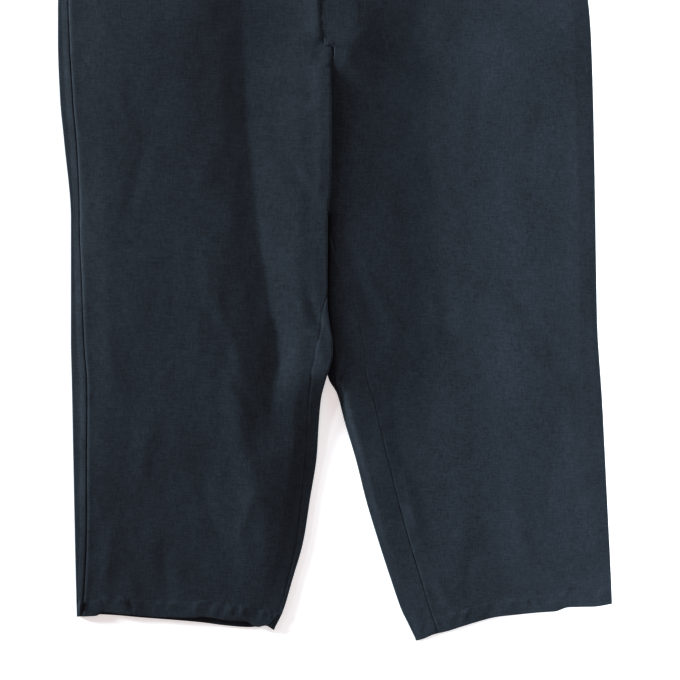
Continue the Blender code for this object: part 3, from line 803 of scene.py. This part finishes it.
# %% The layers under it
def under_height(across, down, from_floor):
    """The cloth under the fold: from the table, over the other leg, up to the fold."""
    from_fold = RIGHT_FOLD.at("edge", down) - across
    rest = REST_SHARE * (ease(from_fold, LIFT_START_UNDER, LIFT_REST) if from_floor else 1.0)
    climb = (1 - REST_SHARE) * ease(from_fold, LIFT_REST, LIFT_FULL)
    crown = CROWN.at("height", down) * rest / REST_SHARE
    return CLOTH / 2 + THIN_LIFT * RIGHT_FOLD.at("lift", down) * (rest + climb) + crown


def floor_relief(across, down, left, right, hem=LEFT_HEM):
    """Creases of the layer on the table: they only rise from it, and stay under the front."""
    line = hem.at("down", across) - down - HEM_STITCH
    felled = across - LEFT_SIDE.at("edge", down) + ROLL + SIDE_SEAM_UNDER + FELL
    sewn = STITCH_ROOM * (bell(line, 2.6) + bell(felled, 3.0))
    inside = ease(across, left + 4, left + 20) * ease(across, right - 4, right - 20)
    slow = 0.25 * np.maximum(unevenness(across, down), 0)
    slow = slow + crease_height(BACK_CREASES, across, down)
    seam = STITCH_ROOM * bell(across - CENTRE_BACK, 4.0, 4)
    seam = seam * ease(down, CROTCH_DOWN + SEAM_ROOM_FADE, CROTCH_DOWN)
    return np.clip(slow * inside, 0, 0.6) + np.maximum(sewn, seam)


def back_height(across, down):
    """The right back, on the table and, below the crotch, up to the fold."""
    left = RIGHT_SIDE.at("edge", down)
    right = np.where(down < CROTCH_DOWN, 60.0, RIGHT_FOLD.at("edge", down) - LIFT_START_UNDER)
    relief = floor_relief(across, down, left, right, RIGHT_BACK_HEM)
    climbs = np.where(down < CROTCH_DOWN, CLOTH / 2, under_height(across, down, True))
    return climbs + relief


# %% [markdown]
# ## Sections
#
# A section cuts a leg straight across. Its cloth is one closed loop: across the top, round the
# right roll, back along the bottom, up the left roll. A length `t` along that loop names each
# point, and a panel is simply the stretch of the loop between two seams. Points crowd together
# where the cloth rolls and beside the seams, where the shape changes fastest.


# %% A flattened tube
CROWD_ROLL = 9.0
CROWD_SEAM = 4.0


class Tube:
    def __init__(self, left, right, low, high, wall=CLOTH, roll=ROLL):
        self.roll = roll
        self.low = low
        self.high = high
        self.start = left + roll + wall / 2
        self.end = right - roll - wall / 2
        self.run = self.end - self.start
        self.turn = math.pi * roll
        self.whole = 2 * (self.run + self.turn)

    def point(self, t):
        """Across and height at lengths t."""
        t = np.mod(t, self.whole)
        right = np.clip((t - self.run) / self.roll, 0, math.pi)
        left = np.clip((t - 2 * self.run - self.turn) / self.roll, 0, math.pi)
        under = self.end - (t - self.run - self.turn)
        top = self.start + t
        cases = [t <= self.run, t < self.run + self.turn, t <= 2 * self.run + self.turn]
        x = np.select(cases, [top, self.end + self.roll * np.sin(right), under],
                      self.start - self.roll * np.sin(left))
        z = np.select(cases, [
            self.high(np.clip(top, self.start, self.end)),
            self.low(self.end) + self.roll * (1 + np.cos(right)),
            self.low(np.clip(under, self.start, self.end)),
        ], self.low(self.start) + self.roll * (1 - np.cos(left)))
        return x, z

    def outward(self, t):
        """Direction away from the loop at lengths t."""
        x0, z0 = self.point(t - 0.15)
        x1, z1 = self.point(t + 0.15)
        size = np.hypot(x1 - x0, z1 - z0)
        return (z0 - z1) / size, (x1 - x0) / size

    def crowded(self, seams):
        rolls = [(self.run, self.run + self.turn), (2 * self.run + self.turn, self.whole)]
        spots = [(a, b, CROWD_ROLL) for a, b in rolls] + [(a, b, CROWD_SEAM) for a, b in seams]
        return [(a + shift, b + shift, times) for a, b, times in spots
                for shift in (-self.whole, 0, self.whole)]


def spread(first, last, crowded, count):
    """Lengths from first to last, count steps of them, closer together in the crowded parts."""
    marks = {first, last}
    for start, end, _ in crowded:
        marks.update((min(max(start, first), last), min(max(end, first), last)))
    marks = sorted(marks)
    weights = []
    for a, b in zip(marks, marks[1:]):
        times = [extra for start, end, extra in crowded if start <= (a + b) / 2 <= end]
        weights.append((b - a) * max(times, default=1.0))
    totals = np.concatenate([[0.0], np.cumsum(weights)])
    return np.interp(np.linspace(0, totals[-1], count + 1), totals, marks)


# %% The four panels as stretches of a section
OPEN_GAP = 1.0  # gap between front and back where they aren't sewn together
RIGHT_SEWN_FROM = 524.0  # the right inseam is sewn from here down
LEFT_SEWN_FROM = 435.0


def right_tube(down, from_floor=True):
    def low(x):
        return back_height(x, down) if from_floor else under_height(x, down, False)

    return Tube(RIGHT_SIDE.at("edge", down), RIGHT_FOLD.at("edge", down), low,
                lambda x: front_height(x, down, True))


def left_tube(down):
    inner = CENTRE_BACK - 10 if down < CROTCH_DOWN else LEFT_INNER.at("edge", down)
    outer = LEFT_SIDE.at("edge", down)
    return Tube(inner, outer, lambda x: CLOTH / 2 + floor_relief(x, down, inner, outer),
                lambda x: front_height(x, down, False))


def side_seam(down):
    """Length along the right leg's section at the side seam."""
    return RIGHT_SIDE.at("seam", down) - ROLL - CLOTH / 2


def left_front_edge(down):
    if down < CROTCH_DOWN:
        return LEFT_CENTRE.at("edge", down)
    return LEFT_INNER.at("edge", down) + LEFT_INNER.at("seam", down)


def front_right(down):
    tube = right_tube(down, False)
    first = side_seam(down) + TOUCH
    last = tube.run + RIGHT_FOLD.at("past", down)
    return tube, first, last, [(first, first + 6), (last - 4, last)]


def back_right(down):
    tube = right_tube(down)
    last = side_seam(down) + tube.whole
    gap = TOUCH if down > RIGHT_SEWN_FROM else OPEN_GAP
    first = tube.run + RIGHT_FOLD.at("past", down) + gap
    if down < CROTCH_DOWN:
        first = tube.run + tube.turn + tube.end - CENTRE_BACK + TOUCH
    return tube, first, last, [(last - 9, last), (first, first + 4)]


def front_left(down):
    tube = left_tube(down)
    first = left_front_edge(down) - tube.start
    last = tube.run + tube.turn + SIDE_SEAM_UNDER
    return tube, first, last, [(first, first + 5)]


def back_left(down):
    tube = left_tube(down)
    first = tube.run + tube.turn + SIDE_SEAM_UNDER + TOUCH
    gap = TOUCH if down > LEFT_SEWN_FROM else OPEN_GAP
    last = tube.whole + left_front_edge(down) - gap - tube.start
    if down < CROTCH_DOWN:
        last = tube.run + tube.turn + tube.end - CENTRE_BACK
    return tube, first, last, [(last - 4, last)]


# %% [markdown]
# ## Sheets of cloth
#
# A maker would cut each panel flat and sew it. Here the laid shape is known, so each panel is a
# grid of points: a row for every few millimetres down the leg, a column for every few across.
# Near the hem the rows follow the hem's own line. There the cloth turns up: the grid rolls over
# the edge and goes back inside. A Solidify modifier gives the sheet its thickness.


# %% Rows of the grid
def rows_between(start, end, step):
    return list(np.linspace(start, end, max(int(round((end - start) / step)), 1) + 1)[:-1])


STATIONS = np.array(
    rows_between(40.04, 222, 4.2) + rows_between(222, 272, 1.25) + rows_between(272, 470, 4.2)
    + rows_between(470, 545, 2.4) + rows_between(545, 857, 4.2) + rows_between(857, 866, 0.9)
    + rows_between(866, HEM_DOWN, 2.6) + [HEM_DOWN])
BEYOND = np.arange(HEM_DOWN + 4, LENGTH + 8, 4.0)
COLUMNS = {"front_right": 104, "front_left": 104, "back_right": 126, "back_left": 116}
HEM_ROLL = 0.36  # radius of the cloth's middle where the hem is turned up
HEM_ROLL_STEPS = (35, 70, 110, 145)  # degrees
HEM_TRIES = 6  # each try brings a point nearer to its own hem line
print("rows:", len(STATIONS))


def loop_rows(section, columns, stations):
    """Across, height and distance from a seam of each point, one row for each station."""
    rows = []
    for down in stations:
        tube, first, last, seams = section(down)
        t = spread(first, last, tube.crowded(seams), columns)
        rows.append((*tube.point(t), np.minimum(t - first, last - t)))
    return [np.array(part) for part in zip(*rows)]


def read_rows(stations, rows, down):
    """Values between the rows, each column at its own distance down."""
    i = np.clip(np.searchsorted(stations, down) - 1, 0, len(stations) - 2)
    share = (down - stations[i]) / (stations[i + 1] - stations[i])
    columns = np.arange(rows.shape[1])
    return rows[i, columns] * (1 - share) + rows[i + 1, columns] * share


def hang_on_hem(section, columns, hem):
    """Points of the panel down to its own hem line, and how near each is to a seam."""
    stations = np.concatenate([STATIONS, BEYOND])
    x, z, aside = loop_rows(section, columns, stations)
    points = []
    near = []
    for station in STATIONS:
        pull = ease(station, HEM_DOWN - HEM_REACH, HEM_DOWN)
        down = np.full(columns + 1, station)
        for _ in range(HEM_TRIES if pull else 0):
            down = station + pull * (hem.at("down", read_rows(stations, x, down)) - HEM_DOWN)
        across = read_rows(stations, x, down)
        height = read_rows(stations, z, down)
        points.append(np.stack([across, LENGTH / 2 - down, height], axis=1))
        near.append(read_rows(stations, aside, down))
    return np.array(points), np.array(near)


def turn_up(points, near):
    """The hem's fold and the cloth inside it, added to a panel's rows."""
    right = np.gradient(points, axis=1)
    downward = np.gradient(points, axis=0)
    normal = unit(np.cross(downward, right))
    edge = points[-1]
    way = unit(points[-1] - points[-3])
    rows = []
    for angle in np.radians(HEM_ROLL_STEPS):
        rows.append(edge + way * HEM_ROLL * math.sin(angle)
                    - normal[-1] * HEM_ROLL * (1 - math.cos(angle)))
    inside = [row - side * 2 * HEM_ROLL for row, side in zip(points[::-1], normal[::-1])]
    depth = np.abs(points[::-1, :, 1] - edge[:, 1]).mean(axis=1)
    kept = [row for row, deep in zip(inside, depth) if deep < HEM_TURN]
    rows = np.concatenate([points, rows, kept])
    more = len(rows) - len(near)
    return rows, np.concatenate([near, np.repeat(near[-1:], more, axis=0)])


# %% A mesh from a grid, with the worn places stored in it
def cloth_sheet(name, points, rub, wall, material):
    rows, columns = points.shape[:2]
    corner = np.arange(rows * columns).reshape(rows, columns)
    faces = np.stack([corner[:-1, :-1], corner[1:, :-1], corner[1:, 1:], corner[:-1, 1:]], axis=2)
    mesh = bpy.data.meshes.new(name)
    mesh.from_pydata((points.reshape(-1, 3) * MM).tolist(), [], faces.reshape(-1, 4).tolist())
    mesh.shade_smooth()
    mesh.materials.append(material)
    worn = mesh.attributes.new("rub", "FLOAT", "POINT")
    worn.data.foreach_set("value", np.clip(rub, 0, 1).astype(np.float32).ravel())
    piece = bpy.data.objects.new(name, mesh)
    bpy.context.collection.objects.link(piece)
    thicken = piece.modifiers.new("Cloth", "SOLIDIFY")
    thicken.thickness = wall * MM
    thicken.offset = 0.0
    thicken.use_rim = True
    return piece


def cut_size(section):
    """Width, length and area of the panel before it was sewn and laid, in metres."""
    stations = np.arange(BAND_DEPTH + 1, HEM_DOWN + 1, 4.0)
    widths = [last - first for _, first, last, _ in map(section, stations)]
    long = HEM_DOWN - BAND_DEPTH + HEM_TURN
    return max(widths) * MM, long * MM, float(np.mean(widths)) * long * MM * MM


HEM_RUB = (0.35, 1.8)  # how worn the hem's edge is, and how far up
SEAM_RUB = (0.1, 1.3)


def make_panel(node, section, hem):
    points, near = hang_on_hem(section, COLUMNS[node], hem)
    flat_rows = len(points)
    points, near = turn_up(points, near)
    above = np.abs(points[:, :, 1] - points[flat_rows - 1, :, 1])
    hem_rub = HEM_RUB[0] * bell(above, HEM_RUB[1])
    seam_rub = SEAM_RUB[0] * bell(near, SEAM_RUB[1])
    piece = cloth_sheet(f"{node}_cloth", points, np.maximum(hem_rub, seam_rub), CLOTH, LINEN[node])
    print(piece.name, points.shape[0], "x", points.shape[1], "points")
    return piece


# %% Cut and lay the four panels
PANELS = {
    "back_right": (back_right, RIGHT_BACK_HEM),
    "back_left": (back_left, LEFT_HEM),
    "front_right": (front_right, RIGHT_FRONT_HEM),
    "front_left": (front_left, LEFT_HEM),
}
pieces = {node: make_panel(node, section, hem) for node, (section, hem) in PANELS.items()}

# %% [markdown]
# ## Waistband
#
# The photo ends below the waist, so the band is finished plainly: one folded strip, closed at the
# front with the wearer's left end over the right. It is a loop like the sections above, with the
# strip going once round and its upper end in line with the fly. The strip is stiffer and thicker
# than the panels. A Bevel modifier rounds the folded edges.

# %% The band's strip
BAND_WALL = 1.35
BAND_ROLL = 1.1
BAND_LEFT = (-247.0, -249.0)  # outline at the band's top and at its bottom
BAND_RIGHT = (219.0, 221.0)
BAND_OVER_END = -15.4  # the upper end, in line with the edge of the fly
BAND_UNDER_END = 20.0
BAND_STACK = 1.9  # the upper end lies this much above the lower one
BAND_COLUMNS = 250
BAND_ROWS = 14
BAND_STITCH = 2.2  # its stitches lie this far in from its edges
BAND_DIP = (0.14, 1.2)  # depth and width of the groove that they pull
BAND_PUCKERS = (0.22, 21.0)  # height and step of its slow puckers
BAND_RUB = (0.3, 1.4)
BAND_ROUND = 0.38


def band_tube(share):
    left = BAND_LEFT[0] + (BAND_LEFT[1] - BAND_LEFT[0]) * share
    right = BAND_RIGHT[0] + (BAND_RIGHT[1] - BAND_RIGHT[0]) * share
    low = BAND_WALL / 2

    def waved(x):
        height, step = BAND_PUCKERS
        wave = height * puckers(4, x + 300 + 6 * share, step) * ease(x, left + 3, left + 14)
        return np.full_like(x, low + 2 * BAND_ROLL) + wave * ease(x, right - 3, right - 14)

    return Tube(left, right, lambda x: np.full_like(x, low), waved, BAND_WALL, BAND_ROLL)


def band_point(share, t):
    tube = band_tube(share)
    x, z = tube.point(t)
    laps = t < tube.run
    z = z + np.where(laps, BAND_STACK * ease(x, FLY_RAISE_END[1], FLY_RAISE_END[0]), 0.0)
    return x, z


def band_ends(share):
    tube = band_tube(share)
    return BAND_OVER_END - tube.start, tube.whole + BAND_UNDER_END - tube.start


def make_band():
    rows = []
    for share in np.linspace(0, 1, BAND_ROWS + 1):
        first, last = band_ends(share)
        t = spread(first, last, band_tube(share).crowded([(first, first + 4)]), BAND_COLUMNS)
        x, z = band_point(share, t)
        depth = share * BAND_DEPTH
        dip = BAND_DIP[0] * sum(bell(line - depth, BAND_DIP[1])
                                for line in (BAND_STITCH, BAND_DEPTH - BAND_STITCH))
        outward = np.where(np.mod(t, band_tube(share).whole) < band_tube(share).run, -dip, 0.0)
        rows.append(np.stack([x, np.full_like(x, LENGTH / 2 - depth), z + outward], axis=1))
    points = np.array(rows)
    depth = LENGTH / 2 - points[:, :, 1]
    rub = BAND_RUB[0] * bell(np.minimum(depth, BAND_DEPTH - depth), BAND_RUB[1])
    band = cloth_sheet("waistband_cloth", points, rub, BAND_WALL - 0.3, LINEN["waistband"])
    rounded = band.modifiers.new("Folded edges", "BEVEL")
    rounded.width = BAND_ROUND * MM
    rounded.segments = 3
    rounded.limit_method = "ANGLE"
    rounded.angle_limit = math.radians(55)
    rounded.use_clamp_overlap = True
    print(band.name, points.shape[0], "x", points.shape[1], "points")
    return band


pieces["waistband"] = make_band()

# %% [markdown]
# ## Stitches
#
# A machine stitch is a short raised dash of thread whose ends sink into the cloth. One dash is
# modelled with a few faces and repeated along each seam line. All dashes of one seam become one
# mesh, made straight from arrays, because thousands of separate objects would be slow.

# %% One dash of thread
STITCH_LENGTH = 2.5
STITCH_PITCH = 3.05
THREAD_RADIUS = 0.17
SIDES = 5
DASH_RINGS = [
    # along, lift, radius: shares of the stitch's length and of the thread's radius
    (-0.50, -1.3, 0.55),
    (-0.26, 0.1, 1.0),
    (0.26, 0.1, 1.0),
    (0.50, -1.3, 0.55),
]


def dash():
    """Points of one dash along X, and its faces."""
    points = []
    for along, lift, radius in DASH_RINGS:
        for side in range(SIDES):
            angle = 2 * math.pi * side / SIDES
            points.append((along, lift + radius * math.sin(angle), radius * math.cos(angle)))
    faces = []
    for ring in range(len(DASH_RINGS) - 1):
        for side in range(SIDES):
            after = (side + 1) % SIDES
            a = ring * SIDES
            faces.append((a + side, a + SIDES + side, a + SIDES + after, a + after))
    faces.append(tuple(range(SIDES)))
    faces.append(tuple(range(len(points) - 1, len(points) - 1 - SIDES, -1)))
    return np.array(points), faces


def along_line(points, normals, pitch, first=0.5):
    """Middles, directions and normals at even steps along a line of points."""
    lengths = np.concatenate([[0], np.cumsum(np.linalg.norm(np.diff(points, axis=0), axis=1))])
    places = np.arange(first * pitch, lengths[-1], pitch)

    def read(values, shift=0.0):
        return np.stack([np.interp(places + shift, lengths, axis) for axis in values.T], axis=1)

    way = unit(read(points, 0.5) - read(points, -0.5))
    up = read(normals)
    up = unit(up - way * (up * way).sum(axis=1, keepdims=True))
    return read(points), way, up


def sew(name, lines, pitch=STITCH_PITCH, length=STITCH_LENGTH, radius=THREAD_RADIUS):
    """One mesh with a dash at every step of every line."""
    shape, faces = dash()
    points = []
    polygons = []
    for line, normals in lines:
        middle, way, up = along_line(line, normals, pitch)
        aside = np.cross(way, up)
        for m, w, u, a in zip(middle, way, up, aside):
            base = len(points) * len(shape)
            points.append(m + np.outer(shape[:, 0] * length, w) + np.outer(shape[:, 1] * radius, u)
                          + np.outer(shape[:, 2] * radius, a))
            polygons.extend(tuple(base + i for i in face) for face in faces)
    mesh = bpy.data.meshes.new(name)
    mesh.from_pydata((np.concatenate(points) * MM).tolist(), [], polygons)
    mesh.shade_smooth()
    mesh.materials.append(THREAD)
    piece = bpy.data.objects.new(name, mesh)
    bpy.context.collection.objects.link(piece)
    print(name, len(points), "stitches,", len(polygons), "faces")
    return piece


# %% Lines that the stitches follow
def facing(points, up=1.0):
    """A line of points whose stitches face straight up, or down where up is -1."""
    line = np.array(points, dtype=float)
    return line, np.array([(0.0, 0.0, up)] * len(line))


def on_face(point, outward, down, half=CLOTH / 2):
    """A point on the cloth's outer face, and the direction away from it."""
    x, z = map(float, point)
    nx, nz = map(float, outward)
    return (x + nx * half, LENGTH / 2 - down, z + nz * half), (nx, 0.0, nz)


def line_of(spots):
    points, normals = zip(*spots)
    return np.array(points), np.array(normals)


def seam_line(section_tube, length_at, start, end, step=3.0):
    """A line down the garment at a length of each section's loop."""
    spots = []
    for down in np.arange(start, end, step):
        tube = section_tube(down)
        t = length_at(tube, down)
        spots.append(on_face(tube.point(t), tube.outward(t), down))
    return line_of(spots)


def hem_line(section, hem, start_share=0.004, end_share=0.996):
    """A line across a panel, along its hem's turn-up."""
    spots = []
    for share in np.linspace(start_share, end_share, 110):
        down = HEM_DOWN - HEM_STITCH
        for _ in range(HEM_TRIES - 1):
            tube, first, last, _ = section(down)
            t = first + (last - first) * share
            down = float(hem.at("down", tube.point(t)[0])) - HEM_STITCH
        spots.append(on_face(tube.point(t), tube.outward(t), down))
    return line_of(spots)


# %% Sew the side seams and the inseams
BELOW_BAND = BAND_DEPTH + 3  # seams' stitches start here


def left_felled(tube, down):
    return tube.run + tube.turn + SIDE_SEAM_UNDER + FELL


side_lines = [
    seam_line(right_tube, lambda tube, down: side_seam(down) - FELL, BELOW_BAND, 858),
    seam_line(left_tube, left_felled, BELOW_BAND, 845),
]
inseam_lines = [
    seam_line(right_tube, lambda tube, down: tube.run + RIGHT_FOLD.at("past", down) + INSEAM_STITCH,
              534, 868),
    seam_line(left_tube, lambda tube, down: left_front_edge(down) - INSEAM_STITCH - tube.start,
              440, 876),
]
pieces["side_stitches"] = sew("side_seam_stitches", side_lines)
pieces["inseam_stitches"] = sew("inseam_stitches", inseam_lines)

# %% Sew the hems
hem_lines = [hem_line(section, hem) for section, hem in PANELS.values()]
pieces["hem_stitches"] = sew("hem_stitches", hem_lines, pitch=3.3, length=2.7)

# %% Sew the fly, its bar tack and the centre back seam
TACK_AT = (-8.6, 220.6)  # across and down
TACK_WIDE = 6.2
TACK_ROWS = 5
TACK_STEP = 0.42
TACK_SLANT = 0.2
SEAT_STITCHES = (2.0, -2.0)  # two rows, beside the centre back seam


def fly_line():
    steps = np.concatenate([np.arange(BELOW_BAND, 200, 3.0), np.arange(200, 224.5, 0.8)])
    line = []
    for down in steps:
        x = float(FLY_STITCH.at("across", down))
        line.append((x, LENGTH / 2 - down, front_height(x, down, False) + CLOTH / 2))
    return facing(line)


def bar_tack():
    """Close zigzag rows that lock the end of an opening."""
    x, down = TACK_AT
    lines = []
    for i in range(TACK_ROWS):
        y = down + TACK_STEP * i
        z = float(front_height(x, y, False)) + CLOTH / 2 + 0.1
        end = LENGTH / 2 - y - TACK_SLANT
        lines.append(facing([(x, LENGTH / 2 - y, z), (x + TACK_WIDE, end, z)]))
    return lines


def centre_back(aside):
    across = CENTRE_BACK + aside
    return facing([(across, LENGTH / 2 - down, floor_relief(across, down, -400.0, 400.0))
                   for down in np.arange(BELOW_BAND, CROTCH_DOWN - 3.5, 3.0)], up=-1.0)


pieces["fly_stitches"] = sew("fly_stitches", [fly_line()], pitch=2.7, length=2.2)
pieces["fly_tack"] = sew("fly_bar_tack", bar_tack(), pitch=1.6, length=2.2)
pieces["seat_stitches"] = sew("seat_seam_stitches", [centre_back(row) for row in SEAT_STITCHES])


# %% Sew the waistband
def band_line(depth):
    share = depth / BAND_DEPTH
    first, last = band_ends(share)
    tube = band_tube(share)
    return line_of([on_face(band_point(share, t), tube.outward(t), depth, BAND_WALL / 2 - 0.18)
                    for t in np.arange(first + BAND_STITCH, last - BAND_STITCH, 2.0)])


def band_end_line():
    line = []
    for depth in np.arange(BAND_STITCH, BAND_DEPTH - 2.0, 1.5):
        share = depth / BAND_DEPTH
        x, z = band_point(share, band_ends(share)[0] + BAND_STITCH)
        line.append((x, LENGTH / 2 - depth, z + BAND_WALL / 2 - 0.15))
    return facing(line)


band_lines = [band_line(BAND_STITCH), band_line(BAND_DEPTH - BAND_STITCH), band_end_line()]
pieces["band_stitches"] = sew("waistband_stitches", band_lines)

# %% [markdown]
# ## Button and buttonhole
#
# A trouser button is turned from a blank: a disc with a raised rim, a dished middle and four
# holes for the thread. It starts as a cylinder, its top face is inset and pushed down, and a
# Boolean modifier drills the holes. The buttonhole is a slit edged with close satin stitches.
# The button has passed through it and sits on its end, held by the pull of the waist.

# %% Turn the button
BUTTON_ACROSS = -2.0
BUTTON_DOWN = 20.0
BUTTON_RADIUS = 8.5
BUTTON_THICKNESS = 2.6
HOLE_RADIUS = 0.85
HOLE_PLACE = 1.75
HOLES = 4
BUTTON_RIM = 2.0  # width of the raised rim
BUTTON_DISH = 0.75  # the middle lies this much lower


def select_faces(mesh, chosen):
    """Leave only the chosen faces selected, by a rule on their centre and normal."""
    bpy.ops.mesh.select_all(action="DESELECT")
    bpy.ops.object.mode_set(mode="OBJECT")
    for face in mesh.polygons:
        face.select = chosen(face)
    bpy.ops.object.mode_set(mode="EDIT")


button_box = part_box("waist_button")
button_floor = button_box[0][2]
bpy.ops.object.select_all(action="DESELECT")
centre = (BUTTON_ACROSS * MM, (LENGTH / 2 - BUTTON_DOWN) * MM)
bpy.ops.mesh.primitive_cylinder_add(vertices=64, radius=BUTTON_RADIUS * MM,
                                    depth=BUTTON_THICKNESS * MM,
                                    location=(*centre, button_floor + BUTTON_THICKNESS / 2 * MM))
button = bpy.context.object
button.name = "waist_button_turned"
bpy.ops.object.transform_apply(location=True, rotation=True, scale=True)
bpy.ops.object.mode_set(mode="EDIT")
bpy.ops.mesh.select_mode(type="FACE")
select_faces(button.data, lambda face: face.normal.z > 0.9)
bpy.ops.mesh.inset(thickness=BUTTON_RIM * MM)
bpy.ops.mesh.inset(thickness=0.5 * MM, depth=-BUTTON_DISH * MM)
bpy.ops.mesh.inset(thickness=1.6 * MM, depth=-0.15 * MM)
select_faces(button.data, lambda face: face.normal.z < -0.9)
bpy.ops.mesh.inset(thickness=2.4 * MM, depth=0.0)
bpy.ops.object.mode_set(mode="OBJECT")
print("button blank:", len(button.data.polygons), "faces")

# %% Drill and polish it
for number in range(HOLES):
    turn = math.pi / 4 + number * math.pi / 2
    x = centre[0] + HOLE_PLACE * MM * math.cos(turn)
    y = centre[1] + HOLE_PLACE * MM * math.sin(turn)
    bpy.ops.object.select_all(action="DESELECT")
    bpy.ops.mesh.primitive_cylinder_add(vertices=24, radius=HOLE_RADIUS * MM, depth=0.02,
                                        location=(x, y, button_floor))
    drill = bpy.context.object
    cut = button.modifiers.new("Hole", "BOOLEAN")
    cut.operation = "DIFFERENCE"
    cut.solver = "EXACT"
    cut.object = drill
    bpy.ops.object.select_all(action="DESELECT")
    bpy.context.view_layer.objects.active = button
    button.select_set(True)
    bpy.ops.object.modifier_apply(modifier=cut.name)
    bpy.data.objects.remove(drill, do_unlink=True)
polish = button.modifiers.new("Polish", "BEVEL")
polish.width = 0.32 * MM
polish.segments = 3
polish.limit_method = "ANGLE"
polish.angle_limit = math.radians(38)
bpy.ops.object.modifier_apply(modifier=polish.name)
bpy.ops.object.shade_smooth_by_angle(angle=math.radians(35))
button.data.materials.clear()
button.data.materials.append(HORN)
pieces["waist_button"] = button
print("button:", len(button.data.polygons), "faces")

# %% Thread in the button, and the buttonhole's edge
THREAD_REACH = 1.35  # from the button's middle to where its thread goes down
HOLE_STITCH = 0.42  # from one stitch of the buttonhole to the next
HOLE_ACROSS = (-3.0, 18.0)
HOLE_EDGE = (0.25, 2.05)  # the stitches reach from here to here, beside the slit


def button_threads():
    height = button_floor / MM + BUTTON_THICKNESS - BUTTON_DISH
    y = LENGTH / 2 - BUTTON_DOWN
    lines = []
    for sign in (1, -1):
        for step in (-0.25, 0.0, 0.25):
            start = (BUTTON_ACROSS - THREAD_REACH + step, y - sign * (THREAD_REACH + step), height)
            end = (BUTTON_ACROSS + THREAD_REACH + step, y + sign * (THREAD_REACH - step), height)
            lines.append(facing([start, end]))
    return lines


def buttonhole_edge():
    z = float(band_point(0.5, band_ends(0.5)[0] + 20.0)[1]) + BAND_WALL / 2 - 0.12
    y = LENGTH / 2 - BUTTON_DOWN
    near, far = HOLE_EDGE
    lines = []
    for x in np.arange(*HOLE_ACROSS, HOLE_STITCH):
        for sign in (1, -1):
            lines.append(facing([(x, y + sign * near, z), (x, y + sign * far, z)]))
    for aside in np.arange(-1.9, 2.0, HOLE_STITCH):
        lines.append(facing([(17.6, y + aside, z), (19.6, y + aside, z)]))
    return lines


pieces["button_threads"] = sew("button_threads", button_threads(), 2.6, 3.6, 0.24)
pieces["buttonhole"] = sew("buttonhole_stitches", buttonhole_edge(), 1.8, 1.9, 0.19)

# %% [markdown]
# ## Put every piece on the one body
#
# The sheets take the place of their solids, which stay in the scene, hidden. Nothing on the garment
# moves by itself, so every piece rides on the one body, `root`. The size that each sheet was cut
# to is worked out and printed.

for node in PANELS:
    piece = pieces[node]
    wide, long, area = cut_size(PANELS[node][0])
    print(piece.name, "cut", round(wide, 3), "x", round(long, 3), "m, area", round(area, 4))
band_long = (band_ends(1.0)[1] - band_ends(1.0)[0]) * MM
print("waistband cut", BAND_DEPTH * MM, "x", round(band_long, 3), "m")

for name, piece in pieces.items():
    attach(piece, "root")
    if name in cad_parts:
        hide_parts(name)
